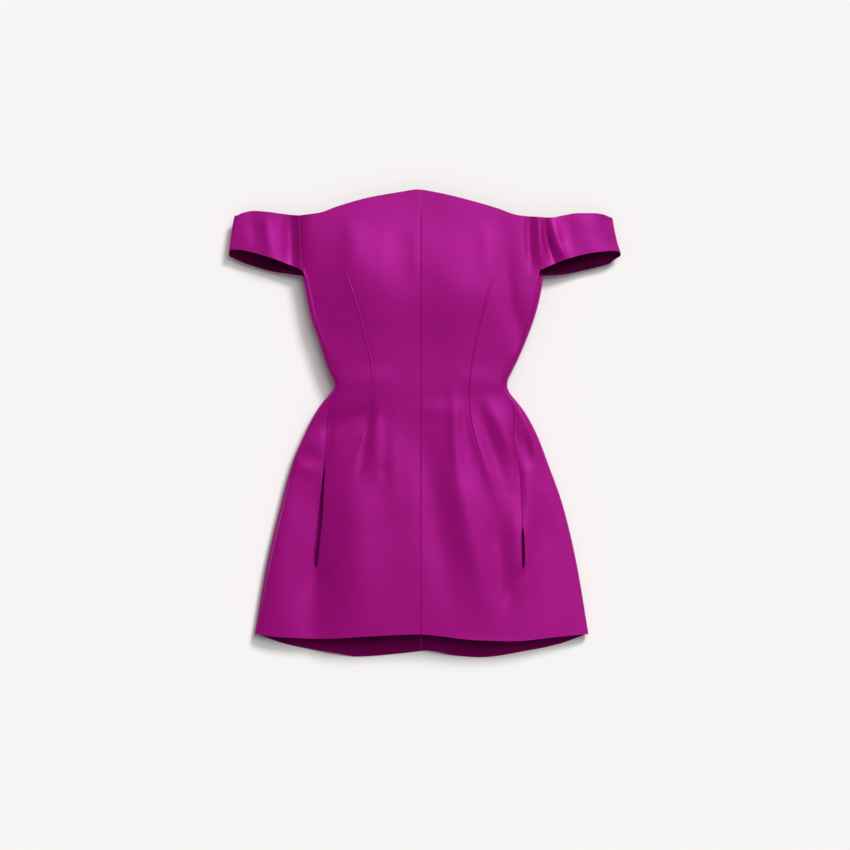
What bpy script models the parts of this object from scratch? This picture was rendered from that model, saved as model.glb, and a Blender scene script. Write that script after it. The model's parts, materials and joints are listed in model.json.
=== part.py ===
"""An off-shoulder dress of crisp satin, laid flat on its back with its front up.

The dress is built from the pieces that a maker would cut: two fronts joined down the centre, two backs
joined by a concealed zip and a seam, two sleeve bands and two pocket bags. Every piece is a wall of
cloth. The fronts and backs lie on one closed tube, which is the side view of the dress at each level.
The side seams lie on the front of the tube, because the backs wrap round its sides, and each one is
left open at the hip as the mouth of a pocket.

Units are metres, +Z is up, +Y runs towards the neckline, and left and right are as seen from above with
the neckline at the top. A "level" is a distance above the waist, and "out" is a distance to the right
of the centre-front seam. The origin is under the middle of the whole dress, on the surface it lies on.
"""
import math
from collections import namedtuple

import bmesh
import bpy
from mathutils import Vector

# Where the dress lies about the origin
CENTRE_FRONT_X = -0.0065
WAIST_Y = 0.0627

# Cloth
WALL = 0.0012
SEAM_GAP = 0.0003

# Levels of the edges at the sides of the dress
HEM_LEVEL = -0.433
UNDERARM_LEVEL = 0.196
ARMHOLE_FOOT_LEVEL = 0.214
SHOULDER_LEVEL = 0.303

# How the rows of the body's wall are spaced: from one level to the next in so many steps
RowSpan = namedtuple("RowSpan", "name start end steps")
ROW_SPANS = (
    RowSpan("hem to the pocket's foot", HEM_LEVEL, -0.318, 4),
    RowSpan("right pocket's mouth", -0.318, -0.241, 3),
    RowSpan("left pocket's mouth", -0.241, -0.121, 5),
    RowSpan("hip", -0.121, -0.030, 5),
    RowSpan("waist", -0.030, 0.030, 8),
    RowSpan("ribs", 0.030, UNDERARM_LEVEL, 8),
    RowSpan("underarm", UNDERARM_LEVEL, ARMHOLE_FOOT_LEVEL, 3),
    RowSpan("armhole", ARMHOLE_FOOT_LEVEL, SHOULDER_LEVEL, 4),
)

# Width of the dress to each side of the centre-front seam
Width = namedtuple("Width", "level left right")
WIDTHS = (
    Width(-0.433, 0.2930, 0.2945),
    Width(-0.311, 0.2720, 0.2740),
    Width(-0.209, 0.2480, 0.2500),
    Width(-0.127, 0.2250, 0.2210),
    Width(-0.083, 0.2060, 0.2040),
    Width(-0.047, 0.1880, 0.1850),
    Width(-0.025, 0.1730, 0.1690),
    Width(-0.011, 0.1610, 0.1575),
    Width(-0.004, 0.1560, 0.1535),
    Width(0.004, 0.1530, 0.1515),
    Width(0.011, 0.1540, 0.1520),
    Width(0.025, 0.1610, 0.1580),
    Width(0.049, 0.1700, 0.1700),
    Width(0.084, 0.1810, 0.1850),
    Width(0.119, 0.1930, 0.1980),
    Width(0.155, 0.2010, 0.2080),
    Width(0.190, 0.2080, 0.2140),
    Width(0.206, 0.2150, 0.2150),
    Width(0.303, 0.2196, 0.2135),
)

# The tube's section: the height of its side folds, their radius, the height of the front at the middle,
# and how far in from the side the back leaves the surface
Section = namedtuple("Section", "level side_height fold crown lift_run")
SECTIONS = (
    Section(-0.433, 0.010, 0.005, 0.034, 0.070),
    Section(-0.311, 0.011, 0.006, 0.040, 0.070),
    Section(-0.209, 0.012, 0.006, 0.042, 0.075),
    Section(-0.083, 0.017, 0.007, 0.040, 0.085),
    Section(-0.025, 0.022, 0.007, 0.036, 0.090),
    Section(0.011, 0.025, 0.007, 0.036, 0.090),
    Section(0.084, 0.026, 0.008, 0.040, 0.100),
    Section(0.155, 0.026, 0.008, 0.042, 0.110),
    Section(0.206, 0.025, 0.008, 0.040, 0.110),
    Section(0.303, 0.022, 0.007, 0.034, 0.100),
)
CROWN_POWER = 2.2
# Folds and darts die away over the side fold, from this share of its radius in from the side
FOLDS_START = 0.6
# The last flat column of a back, as a share of the way from the centre to the side fold
LAST_FLAT_TURN = 0.97
# How far the back still curls up beside the sleeve just over the underarm, and the sleeve's distance there
UNDERARM_CURL = 0.38
UNDERARM_CLEARANCE = 0.0008
UNDERARM_SLEEVE_RISE = 0.6

# Edges: each row is a place out from the centre and the edge's level there
Edge = namedtuple("Edge", "out level")
FRONT_NECKLINE = (
    Edge(-0.2139, 0.303),
    Edge(-0.177, 0.308),
    Edge(-0.149, 0.318),
    Edge(-0.093, 0.334),
    Edge(-0.037, 0.344),
    Edge(-0.006, 0.3485),
    Edge(0.019, 0.345),
    Edge(0.076, 0.332),
    Edge(0.132, 0.316),
    Edge(0.172, 0.303),
    Edge(0.2078, 0.300),
)
BACK_NECKLINE = (
    Edge(-0.2139, 0.297),
    Edge(-0.150, 0.294),
    Edge(0.000, 0.287),
    Edge(0.150, 0.292),
    Edge(0.2078, 0.294),
)
FRONT_HEM = (
    Edge(-0.2889, -0.433),
    Edge(-0.258, -0.4375),
    Edge(-0.174, -0.4407),
    Edge(-0.090, -0.4364),
    Edge(-0.005, -0.4330),
    Edge(0.095, -0.4430),
    Edge(0.158, -0.4450),
    Edge(0.242, -0.4375),
    Edge(0.2904, -0.433),
)
BACK_HEM = (
    Edge(-0.2889, -0.433),
    Edge(-0.234, -0.4515),
    Edge(-0.149, -0.4670),
    Edge(-0.112, -0.4725),
    Edge(-0.023, -0.4656),
    Edge(0.010, -0.4620),
    Edge(0.061, -0.4710),
    Edge(0.104, -0.4738),
    Edge(0.188, -0.4620),
    Edge(0.244, -0.4500),
    Edge(0.2904, -0.433),
)
HEM_SHAPING_TOP = -0.300
NECK_SHAPING_FOOT = 0.214

# The dart that shapes the waist of each front, how far out it lies at each level
LinePlace = namedtuple("LinePlace", "level left right")
DART_LINE = (
    LinePlace(-0.433, 0.140, 0.140),
    LinePlace(-0.152, 0.116, 0.109),
    LinePlace(-0.122, 0.114, 0.104),
    LinePlace(-0.091, 0.106, 0.095),
    LinePlace(-0.054, 0.094, 0.0866),
    LinePlace(-0.018, 0.0835, 0.0835),
    LinePlace(0.013, 0.0815, 0.0850),
    LinePlace(0.043, 0.0840, 0.0880),
    LinePlace(0.080, 0.0930, 0.0950),
    LinePlace(0.116, 0.1020, 0.1040),
    LinePlace(0.159, 0.1140, 0.1140),
    LinePlace(0.208, 0.1300, 0.1260),
    LinePlace(0.303, 0.1400, 0.1350),
)
DART_FOOT_LEVEL = -0.152
DART_TOP_LEVEL = 0.208
DART_DEPTH = 0.0009
DART_SIDE_STEP = 0.006

# The side seam, how far out it lies at each level; above the underarm it is the front's armhole
SIDE_SEAM = (
    LinePlace(-0.433, 0.1600, 0.1690),
    LinePlace(-0.372, 0.1740, 0.1740),
    LinePlace(-0.318, 0.1860, 0.1795),
    LinePlace(-0.220, 0.1775, 0.1770),
    LinePlace(-0.139, 0.1705, 0.1725),
    LinePlace(-0.091, 0.1675, 0.1640),
    LinePlace(-0.035, 0.1625, 0.1615),
    LinePlace(-0.014, 0.1530, 0.1490),
    LinePlace(0.000, 0.1465, 0.1420),
    LinePlace(0.023, 0.1490, 0.1430),
    LinePlace(0.063, 0.1670, 0.1700),
    LinePlace(0.093, 0.1785, 0.1815),
    LinePlace(0.119, 0.1835, 0.1910),
    LinePlace(0.155, 0.1890, 0.1985),
    LinePlace(0.190, 0.2000, 0.2060),
    LinePlace(0.206, 0.2085, 0.2085),
    LinePlace(0.303, 0.2139, 0.2078),
)
# Half the width of the pocket's mouth, where the side seam is left open
MOUTH_HALF_WIDTH = (
    LinePlace(-0.318, 0.0, 0.0),
    LinePlace(-0.292, 0.0040, 0.0029),
    LinePlace(-0.265, 0.0045, 0.0026),
    LinePlace(-0.241, 0.0046, 0.0),
    LinePlace(-0.169, 0.0024, 0.0),
    LinePlace(-0.121, 0.0, 0.0),
)
MOUTH_FOOT_LEVEL = -0.318
MOUTH_TOP_LEVEL = {"left": -0.121, "right": -0.241}

# Folds: a line of places, how far the cloth rises or sinks there, and how wide the fold is
Fold = namedtuple("Fold", "name rise width places")
BODY_FOLDS = (
    Fold("bust fullness, left", 0.0050, 0.058, ((-0.120, 0.165), (-0.128, 0.205))),
    Fold("bust fullness, right", 0.0050, 0.058, ((0.116, 0.165), (0.124, 0.205))),
    Fold("ridge under the waist, left of the dart", 0.0022, 0.011, ((-0.077, -0.047), (-0.077, -0.132))),
    Fold("ridge under the waist, near the centre", 0.0020, 0.013, ((-0.046, -0.088), (-0.046, -0.190))),
    Fold("dimple between the two ridges", -0.0016, 0.010, ((-0.060, -0.121), (-0.060, -0.156))),
    Fold("long ridge down the right front", 0.0032, 0.024,
         ((0.071, -0.030), (0.071, -0.121), (0.086, -0.176), (0.111, -0.258), (0.118, -0.360),
          (0.144, -0.420))),
    Fold("valley from the right dart", -0.0024, 0.012, ((0.104, -0.019), (0.118, -0.070), (0.148, -0.139))),
    Fold("short ridge beside that valley", 0.0020, 0.010, ((0.111, -0.105), (0.148, -0.172))),
    Fold("hollow right of the centre seam", -0.0020, 0.020, ((0.029, -0.045), (0.029, -0.300))),
    Fold("valley under the left pocket", -0.0026, 0.015,
         ((-0.186, -0.322), (-0.174, -0.372), (-0.160, -0.425))),
    Fold("valley under the right pocket", -0.0018, 0.011, ((0.179, -0.322), (0.174, -0.360))),
    Fold("left pocket seam", -0.0016, 0.007, ((-0.163, -0.045), (-0.168, -0.121))),
    Fold("right pocket seam", -0.0018, 0.008,
         ((0.163, -0.045), (0.162, -0.091), (0.173, -0.139), (0.177, -0.262))),
)

# Sleeve bands: the outer fold's place at each level, and the edges from the body outwards
SleeveFold = namedtuple("SleeveFold", "level left right")
SLEEVE_FOLDS = (
    SleeveFold(0.222, 0.3350, 0.3480),
    SleeveFold(0.233, 0.3380, 0.3510),
    SleeveFold(0.255, 0.3360, 0.3450),
    SleeveFold(0.280, 0.3325, 0.3395),
    SleeveFold(0.303, 0.3280, 0.3360),
)
SleeveEdge = namedtuple("SleeveEdge", "share top front_cuff back_cuff")
SLEEVE_EDGES = {
    "left": (
        SleeveEdge(0.00, 0.3030, 0.2050, 0.1965),
        SleeveEdge(0.12, 0.3040, 0.2126, 0.1985),
        SleeveEdge(0.33, 0.3065, 0.2230, 0.2020),
        SleeveEdge(0.54, 0.3095, 0.2320, 0.2075),
        SleeveEdge(0.74, 0.3110, 0.2390, 0.2150),
        SleeveEdge(0.90, 0.3080, 0.2425, 0.2220),
        SleeveEdge(1.00, 0.3000, 0.2430, 0.2290),
    ),
    "right": (
        SleeveEdge(0.00, 0.3000, 0.2050, 0.1965),
        SleeveEdge(0.18, 0.2990, 0.2165, 0.1975),
        SleeveEdge(0.35, 0.3030, 0.2255, 0.2000),
        SleeveEdge(0.56, 0.3070, 0.2340, 0.2060),
        SleeveEdge(0.78, 0.3070, 0.2390, 0.2130),
        SleeveEdge(0.92, 0.3045, 0.2405, 0.2190),
        SleeveEdge(1.00, 0.2970, 0.2400, 0.2290),
    ),
}
SLEEVE_WIDTH = 0.12
SLEEVE_ROWS = 6
SLEEVE_FOLDS_FADE = 0.25
SLEEVE_SIDE_HEIGHT = 0.0175
SLEEVE_FOLD = 0.0050
SLEEVE_BACK_DROP = 0.0030
SLEEVE_BACK_TOP_DROP = 0.006
SLEEVE_FOLDS_IN_CLOTH = (
    Fold("trough across the left sleeve", -0.0016, 0.009, ((-0.286, 0.279), (-0.271, 0.249))),
    Fold("ridge beside it", 0.0016, 0.008, ((-0.262, 0.285), (-0.262, 0.242))),
    Fold("hollow at the left armhole", -0.0020, 0.011, ((-0.251, 0.297), (-0.232, 0.240))),
    Fold("crease at the right armhole", -0.0018, 0.007, ((0.219, 0.285), (0.230, 0.257), (0.241, 0.228))),
    Fold("ridge beside that crease", 0.0012, 0.009, ((0.246, 0.290), (0.262, 0.245))),
)

# Pocket bags, measured from the side seam
BAG_TOWARDS_SIDE = 0.012
BAG_TOWARDS_CENTRE = 0.125
BAG_TOP_LEVEL = -0.100
BAG_FOOT_LEVEL = -0.378
BAG_CLEARANCE = 0.0045
BAG_MOUTH_COLUMNS = (1, 2)
BAG_LEAST_MOUTH = 0.0012
BAG_DEPTH = 0.0095
BAG_RIM_DEPTH = 0.0036
BAG_WALL = 0.0010

# Concealed zip, on the inside of the centre-back seam
ZIP_TOP_LEVEL = 0.284
ZIP_FOOT_LEVEL = -0.110
ZIP_TAPE_HALF_WIDTH = 0.012
ZIP_TAPE_THICKNESS = 0.0010
ZIP_COIL_HALF_WIDTH = 0.0028
ZIP_COIL_THICKNESS = 0.0024
ZIP_SLIDER_LENGTH = 0.011
ZIP_SLIDER_HALF_WIDTH = 0.0045
ZIP_SLIDER_THICKNESS = 0.0042
ZIP_SLIDER_STEP = 0.0005
ZIP_RIDGE_TOP_SHARE = 0.7

SATIN = (0.36, 0.006, 0.20, 1.0)
BAG_CLOTH = (0.22, 0.004, 0.12, 1.0)
ZIP_TAPE = (0.30, 0.006, 0.17, 1.0)
CLOTH_ROUGHNESS = 0.55
SHARP_ANGLE = math.radians(50)

SIDES = {"left": -1.0, "right": 1.0}


class Curve:
    """A smooth curve through a table's places and values that never swings past them."""

    def __init__(self, places, values):
        self.places = list(places)
        self.values = list(values)
        steps = [b - a for a, b in zip(self.places, self.places[1:])]
        slopes = [(b - a) / step for a, b, step in zip(self.values, self.values[1:], steps)]
        self.tangents = [slopes[0]]
        for before, after in zip(slopes, slopes[1:]):
            self.tangents.append(2 * before * after / (before + after) if before * after > 0 else 0.0)
        self.tangents.append(slopes[-1])

    def __call__(self, place):
        if place <= self.places[0]:
            return self.values[0]
        if place >= self.places[-1]:
            return self.values[-1]
        row = next(i for i, end in enumerate(self.places[1:]) if place <= end)
        step = self.places[row + 1] - self.places[row]
        t = (place - self.places[row]) / step
        start, end = self.values[row], self.values[row + 1]
        leave, arrive = self.tangents[row] * step, self.tangents[row + 1] * step
        return (start * (1 + 2 * t) * (1 - t) ** 2 + leave * t * (1 - t) ** 2
                + end * t * t * (3 - 2 * t) + arrive * t * t * (t - 1))


def column(table, place_name, value_name):
    """One column of a table as a curve over another."""
    return Curve([getattr(row, place_name) for row in table], [getattr(row, value_name) for row in table])


def both_sides(table, place_name="level"):
    return {side: column(table, place_name, side) for side in SIDES}


HALF_WIDTH = both_sides(WIDTHS)
DART = both_sides(DART_LINE)
SEAM = both_sides(SIDE_SEAM)
MOUTH = both_sides(MOUTH_HALF_WIDTH)
SIDE_HEIGHT = column(SECTIONS, "level", "side_height")
FOLD = column(SECTIONS, "level", "fold")
CROWN = column(SECTIONS, "level", "crown")
LIFT_RUN = column(SECTIONS, "level", "lift_run")
NECK_FRONT = column(FRONT_NECKLINE, "out", "level")
NECK_BACK = column(BACK_NECKLINE, "out", "level")
HEM_FRONT = column(FRONT_HEM, "out", "level")
HEM_BACK = column(BACK_HEM, "out", "level")
SLEEVE_OUTER = both_sides(SLEEVE_FOLDS)


def eased(share):
    """A share from 0 to 1 with a soft start and end."""
    share = min(max(share, 0.0), 1.0)
    return share * share * (3 - 2 * share)


def distance_to_line(out, level, places):
    """How far a place of the cloth is from a line of straight stretches."""
    nearest = math.inf
    for (x0, y0), (x1, y1) in zip(places, places[1:]):
        run_x, run_y = x1 - x0, y1 - y0
        share = ((out - x0) * run_x + (level - y0) * run_y) / (run_x * run_x + run_y * run_y)
        share = min(max(share, 0.0), 1.0)
        nearest = min(nearest, math.hypot(out - x0 - share * run_x, level - y0 - share * run_y))
    return nearest


def relief(folds, out, level):
    """How far the folds lift or lower the cloth at one place."""
    total = 0.0
    for fold in folds:
        total += fold.rise * math.exp(-(distance_to_line(out, level, fold.places) / fold.width) ** 2)
    return total


def dart_groove(side, out, level):
    """The shallow valley that the sewn dart leaves, which dies away at both of its points."""
    if not DART_FOOT_LEVEL < level < DART_TOP_LEVEL:
        return 0.0
    middle = (DART_FOOT_LEVEL + DART_TOP_LEVEL) / 2
    reach = (DART_TOP_LEVEL - DART_FOOT_LEVEL) / 2
    fade = 1 - (abs(level - middle) / reach) ** 4
    off = (abs(out) - DART[side](level)) / (DART_SIDE_STEP / 2)
    return -DART_DEPTH * fade * math.exp(-off * off)


def bulge(share):
    """The quarter circle of a fold: 0 at its outermost line, 1 where it has turned flat."""
    share = min(share, 1.0)
    return math.sqrt(share * (2 - share))


def front_height(side, level, inset):
    """Height of the front's outer face, at a distance in from the side."""
    fold = FOLD(level)
    half = HALF_WIDTH[side](level)
    side_height = SIDE_HEIGHT(level)
    out = SIDES[side] * (half - inset)
    rise = (CROWN(level) - side_height - fold) * (1 - abs(1 - inset / half) ** CROWN_POWER)
    folds = relief(BODY_FOLDS, out, level) + dart_groove(side, out, level)
    return side_height + fold * bulge(inset / fold) + rise + folds * eased(inset / fold - FOLDS_START)


def back_height(level, inset):
    """Height of the back's outer face, which leaves the surface towards the side."""
    fold = FOLD(level)
    lifted = SIDE_HEIGHT(level) - fold
    share = min(inset / LIFT_RUN(level), 1.0)
    return SIDE_HEIGHT(level) - fold * bulge(inset / fold) - lifted * (1 - (1 - share) ** 2)


def body_point(side, turn, level):
    """A point of the body's outer face.

    The turn runs from 0 at the centre back to 1 where the side fold starts, 2 where it ends on the
    front, and 3 at the centre front.
    """
    half = HALF_WIDTH[side](level)
    fold = FOLD(level)
    if turn < 1:
        inset = fold + (half - fold) * (1 - turn)
    elif turn <= 2:
        inset = fold * (1 - math.sin(math.pi * (turn - 1)))
    else:
        inset = fold + (half - fold) * (turn - 2)
    height = back_height(level, inset) if turn <= 1.5 else front_height(side, level, inset)
    return Vector((CENTRE_FRONT_X + SIDES[side] * (half - inset), WAIST_Y + level, height))


SMALL_TURN = 0.004
SMALL_RUN = 0.0015


def facing(point_at, across, along, side_sign):
    """The outward direction of a surface that is given as a function of two numbers."""
    run_across = point_at(across + SMALL_TURN, along) - point_at(across - SMALL_TURN, along)
    run_along = point_at(across, along + SMALL_RUN) - point_at(across, along - SMALL_RUN)
    return (run_across.cross(run_along) * side_sign).normalized()


def row_levels():
    levels = [ROW_SPANS[0].start]
    for span in ROW_SPANS:
        step = (span.end - span.start) / span.steps
        levels += [span.start + step * (i + 1) for i in range(span.steps)]
    return levels


def front_turn(side, level, out):
    """The turn of a place on the front half of the tube, from how far out it lies."""
    fold = FOLD(level)
    reach = HALF_WIDTH[side](level) - fold
    if out < reach:
        return 2 + (reach - out) / reach
    return 2 - math.asin(min((out - reach) / fold, 1.0)) / math.pi


def edged(side, turn, level, neckline):
    """A row's level at one place, bent so that the first row is the hem and the last the neckline."""
    out = SIDES[side] * abs(body_point(side, turn, level).x - CENTRE_FRONT_X)
    hem = HEM_FRONT if turn > 1.5 else HEM_BACK
    hem_share = eased((HEM_SHAPING_TOP - level) / (HEM_SHAPING_TOP - HEM_LEVEL))
    neck_share = eased((level - NECK_SHAPING_FOOT) / (SHOULDER_LEVEL - NECK_SHAPING_FOOT))
    hem_shift = hem(out * HALF_WIDTH[side](HEM_LEVEL) / HALF_WIDTH[side](level)) - HEM_LEVEL
    neck_shift = neckline(out * HALF_WIDTH[side](SHOULDER_LEVEL) / HALF_WIDTH[side](level)) - SHOULDER_LEVEL
    return level + hem_share * hem_shift + neck_share * neck_shift


def between(start, end, steps):
    """Places from start up to but not at the end, evenly apart."""
    return [start + (end - start) * i / steps for i in range(steps)]


def above_underarm(level):
    """The share of the way from the underarm up to where the back's armhole runs straight."""
    return min(max((level - UNDERARM_LEVEL) / (ARMHOLE_FOOT_LEVEL - UNDERARM_LEVEL), 0.0), 1.0)


def front_turns(side, level):
    """Where the columns of a front lie at one level, from the side seam to the centre seam."""
    seam = front_turn(side, level, SEAM[side](level) - max(MOUTH[side](level), SEAM_GAP / 2))
    dart_outer = front_turn(side, level, DART[side](level) + DART_SIDE_STEP)
    dart = front_turn(side, level, DART[side](level))
    dart_inner = front_turn(side, level, DART[side](level) - DART_SIDE_STEP)
    centre = front_turn(side, level, SEAM_GAP / 2)
    return between(seam, dart_outer, 4) + [dart_outer, dart] + between(dart_inner, centre, 5) + [centre]


def back_turns(side, level):
    """Where the columns of a back lie at one level, from the centre seam to the side seam or armhole."""
    half = HALF_WIDTH[side](level)
    fold = FOLD(level)
    centre = SEAM_GAP / 2 / (half - fold)
    lift = 1 - (LIFT_RUN(level) - fold) / (half - fold)
    above = above_underarm(level)
    last = 1 + UNDERARM_CURL * (1 - above) ** 2 - above * SEAM_GAP / 2 / (half - fold)
    if above == 0:
        last = front_turn(side, level, SEAM[side](level) + max(MOUTH[side](level), SEAM_GAP / 2))
    flat_end = min(LAST_FLAT_TURN, last - SMALL_TURN / 2)
    fold_end = min(2.0, last - SMALL_TURN / 4)
    flat = between(centre, lift, 4) + between(lift, min(LAST_FLAT_TURN, last), 3)
    return flat + between(flat_end, fold_end, 6) + between(fold_end, last, 3) + [last]


CELL_CORNERS = ((0, 0), (0, 1), (1, 1), (1, 0))
CELL_NEIGHBOURS = ((-1, 0), (0, 1), (1, 0), (0, -1))


def patch(shell, a, b, c, d):
    """A four-cornered face as two triangles, always split the same way."""
    shell.faces.new((a, b, c))
    shell.faces.new((a, c, d))


def wall(name, outer, inner, colour):
    """A closed wall between two grids of points, with a rim along every open edge."""
    shell = bmesh.new()
    out_grid = [[shell.verts.new(point) for point in row] for row in outer]
    in_grid = [[shell.verts.new(point) for point in row] for row in inner]
    rows, columns = len(outer) - 1, len(outer[0]) - 1
    cells = {(r, c) for r in range(rows) for c in range(columns)}
    for r, c in sorted(cells):
        out_cell = [out_grid[r + dr][c + dc] for dr, dc in CELL_CORNERS]
        in_cell = [in_grid[r + dr][c + dc] for dr, dc in CELL_CORNERS]
        patch(shell, *out_cell)
        patch(shell, *in_cell)
        for edge, (dr, dc) in enumerate(CELL_NEIGHBOURS):
            if (r + dr, c + dc) not in cells:
                after = (edge + 1) % 4
                patch(shell, out_cell[edge], out_cell[after], in_cell[after], in_cell[edge])
    return finished(name, shell, colour)


def finished(name, shell, colour):
    """Makes the named object of a shell, with its faces outwards and its own material."""
    bmesh.ops.recalc_face_normals(shell, faces=shell.faces)
    mesh = bpy.data.meshes.new(name)
    shell.to_mesh(mesh)
    shell.free()
    mesh.shade_smooth()
    mesh.set_sharp_from_angle(angle=SHARP_ANGLE)
    mesh.materials.append(cloth_material(name, colour))
    piece = bpy.data.objects.new(name, mesh)
    bpy.context.scene.collection.objects.link(piece)
    return piece


def cloth_material(name, colour):
    material = bpy.data.materials.new(name + "_cloth")
    material.use_nodes = True
    shader = material.node_tree.nodes["Principled BSDF"]
    shader.inputs["Base Color"].default_value = colour
    shader.inputs["Roughness"].default_value = CLOTH_ROUGHNESS
    shader.inputs["Metallic"].default_value = 0.0
    return material


def body_panel(name, side, turns_at, neckline):
    """One front or back, as a wall on the tube of the body."""
    outer, inner = [], []
    for level in row_levels():
        outer_row, inner_row = [], []
        for turn in turns_at(side, level):
            place = edged(side, turn, level, neckline)
            point = body_point(side, turn, place)
            outward = facing(lambda t, p: body_point(side, t, p), turn, place, -SIDES[side])
            outer_row.append(point)
            inner_row.append(point - outward * WALL)
        outer.append(outer_row)
        inner.append(inner_row)
    return wall(name, outer, inner, SATIN)


def mouth_rows(side, levels):
    """The rows of cells that lie beside the pocket's mouth."""
    middle = [(a + b) / 2 for a, b in zip(levels, levels[1:])]
    return [row for row, level in enumerate(middle) if MOUTH_FOOT_LEVEL < level < MOUTH_TOP_LEVEL[side]]


def sleeve_point(side, turn, share_up):
    """A point of a sleeve band's outer face.

    The turn runs from 0 at the front armhole to 1 and 2 at the start and end of the outer fold, and 3
    at the back armhole. The share runs from 0 at the cuff to 1 at the top edge.
    """
    edges = SLEEVE_EDGES[side]
    outward_share = turn if turn < 1 else (1.0 if turn < 2 else 3 - turn)
    round_fold = eased(min(max(turn - 1, 0.0), 1.0))
    top = column(edges, "share", "top")(outward_share) - SLEEVE_BACK_TOP_DROP * round_fold
    front_cuff = column(edges, "share", "front_cuff")(outward_share)
    back_cuff = column(edges, "share", "back_cuff")(outward_share)
    cuff = front_cuff + (back_cuff - front_cuff) * round_fold
    level = cuff + (top - cuff) * share_up
    half = HALF_WIDTH[side](level)
    fold = FOLD(level)
    seam_inset = half - SEAM[side](max(level, ARMHOLE_FOOT_LEVEL))
    tip = SLEEVE_OUTER[side](level) - SLEEVE_FOLD
    if turn < 1:
        start = half - seam_inset
        out = start + (tip - start) * turn
        start_height = front_height(side, level, seam_inset)
        end_height = SLEEVE_SIDE_HEIGHT + SLEEVE_FOLD
        height = start_height + (end_height - start_height) * turn
        fade = eased((1 - turn) / SLEEVE_FOLDS_FADE)
        height += relief(SLEEVE_FOLDS_IN_CLOTH, SIDES[side] * out, level) * fade
    elif turn <= 2:
        angle = math.pi * (turn - 1)
        out = tip + SLEEVE_FOLD * math.sin(angle)
        height = SLEEVE_SIDE_HEIGHT + SLEEVE_FOLD * math.cos(angle)
    else:
        above = above_underarm(level)
        start = half - fold * above + UNDERARM_CLEARANCE * (1 - above)
        start_height = back_height(level, fold) + UNDERARM_SLEEVE_RISE * fold * (1 - above)
        share = 3 - turn
        out = start + (tip - start) * share
        end_height = SLEEVE_SIDE_HEIGHT - SLEEVE_FOLD
        height = start_height + (end_height - start_height) * share
        height -= SLEEVE_BACK_DROP * math.sin(math.pi * share)
    return Vector((CENTRE_FRONT_X + SIDES[side] * out, WAIST_Y + level, height))


def sleeve_band(side):
    """A sleeve: a band of cloth from the front armhole round the arm to the back armhole."""
    gap = SEAM_GAP / SLEEVE_WIDTH
    turns = between(gap, 1.0, 6) + between(1.0, 2.0, 5) + between(2.0, 3 - gap, 6) + [3 - gap]
    outer, inner = [], []
    for i in range(SLEEVE_ROWS + 1):
        share_up = i / SLEEVE_ROWS
        outer_row, inner_row = [], []
        for turn in turns:
            point = sleeve_point(side, turn, share_up)
            outward = facing(lambda t, s: sleeve_point(side, t, s), turn, share_up, SIDES[side])
            outer_row.append(point)
            inner_row.append(point - outward * WALL)
        outer.append(outer_row)
        inner.append(inner_row)
    return wall(f"sleeve_{side}", outer, inner, SATIN)


def bag_outs(side, level, towards_inside):
    """Where the columns of a pocket bag lie: its mouth is the one in the side seam."""
    line = SEAM[side](level)
    half_mouth = max(MOUTH[side](level), BAG_LEAST_MOUTH)
    far = line - BAG_TOWARDS_CENTRE + towards_inside
    outer_end = line + BAG_TOWARDS_SIDE - towards_inside
    return [outer_end, line + half_mouth] + between(line - half_mouth, far, 5) + [far]


def bag_ceiling(side, column_index, out, level):
    """Height of a bag's upper skin: against the front at its mouth, clear of the front's folds elsewhere."""
    half = HALF_WIDTH[side](level)
    inset = half - out
    if column_index in BAG_MOUTH_COLUMNS:
        return front_height(side, level, inset) - WALL - 2 * SEAM_GAP
    folds = relief(BODY_FOLDS, SIDES[side] * out, level)
    return front_height(side, level, inset) - folds - BAG_CLEARANCE


def bag_skin(side, levels, towards_inside, upper):
    """One face of the pouch: outer or inner, on its upper side or its lower."""
    last_row = len(levels) - 1
    grid = []
    for r, level in enumerate(levels):
        shift = towards_inside if r == 0 else (-towards_inside if r == last_row else 0.0)
        held = level + shift
        outs = bag_outs(side, level, towards_inside)
        last_column = len(outs) - 1
        row = []
        for c, out in enumerate(outs):
            full = eased(min(min(c, last_column - c), min(r, last_row - r)) / 2)
            depth = BAG_RIM_DEPTH + (BAG_DEPTH - BAG_RIM_DEPTH) * full
            height = bag_ceiling(side, c, out, held)
            height += -towards_inside if upper else towards_inside - depth
            row.append(Vector((CENTRE_FRONT_X + SIDES[side] * out, WAIST_Y + held, height)))
        grid.append(row)
    return grid


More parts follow.
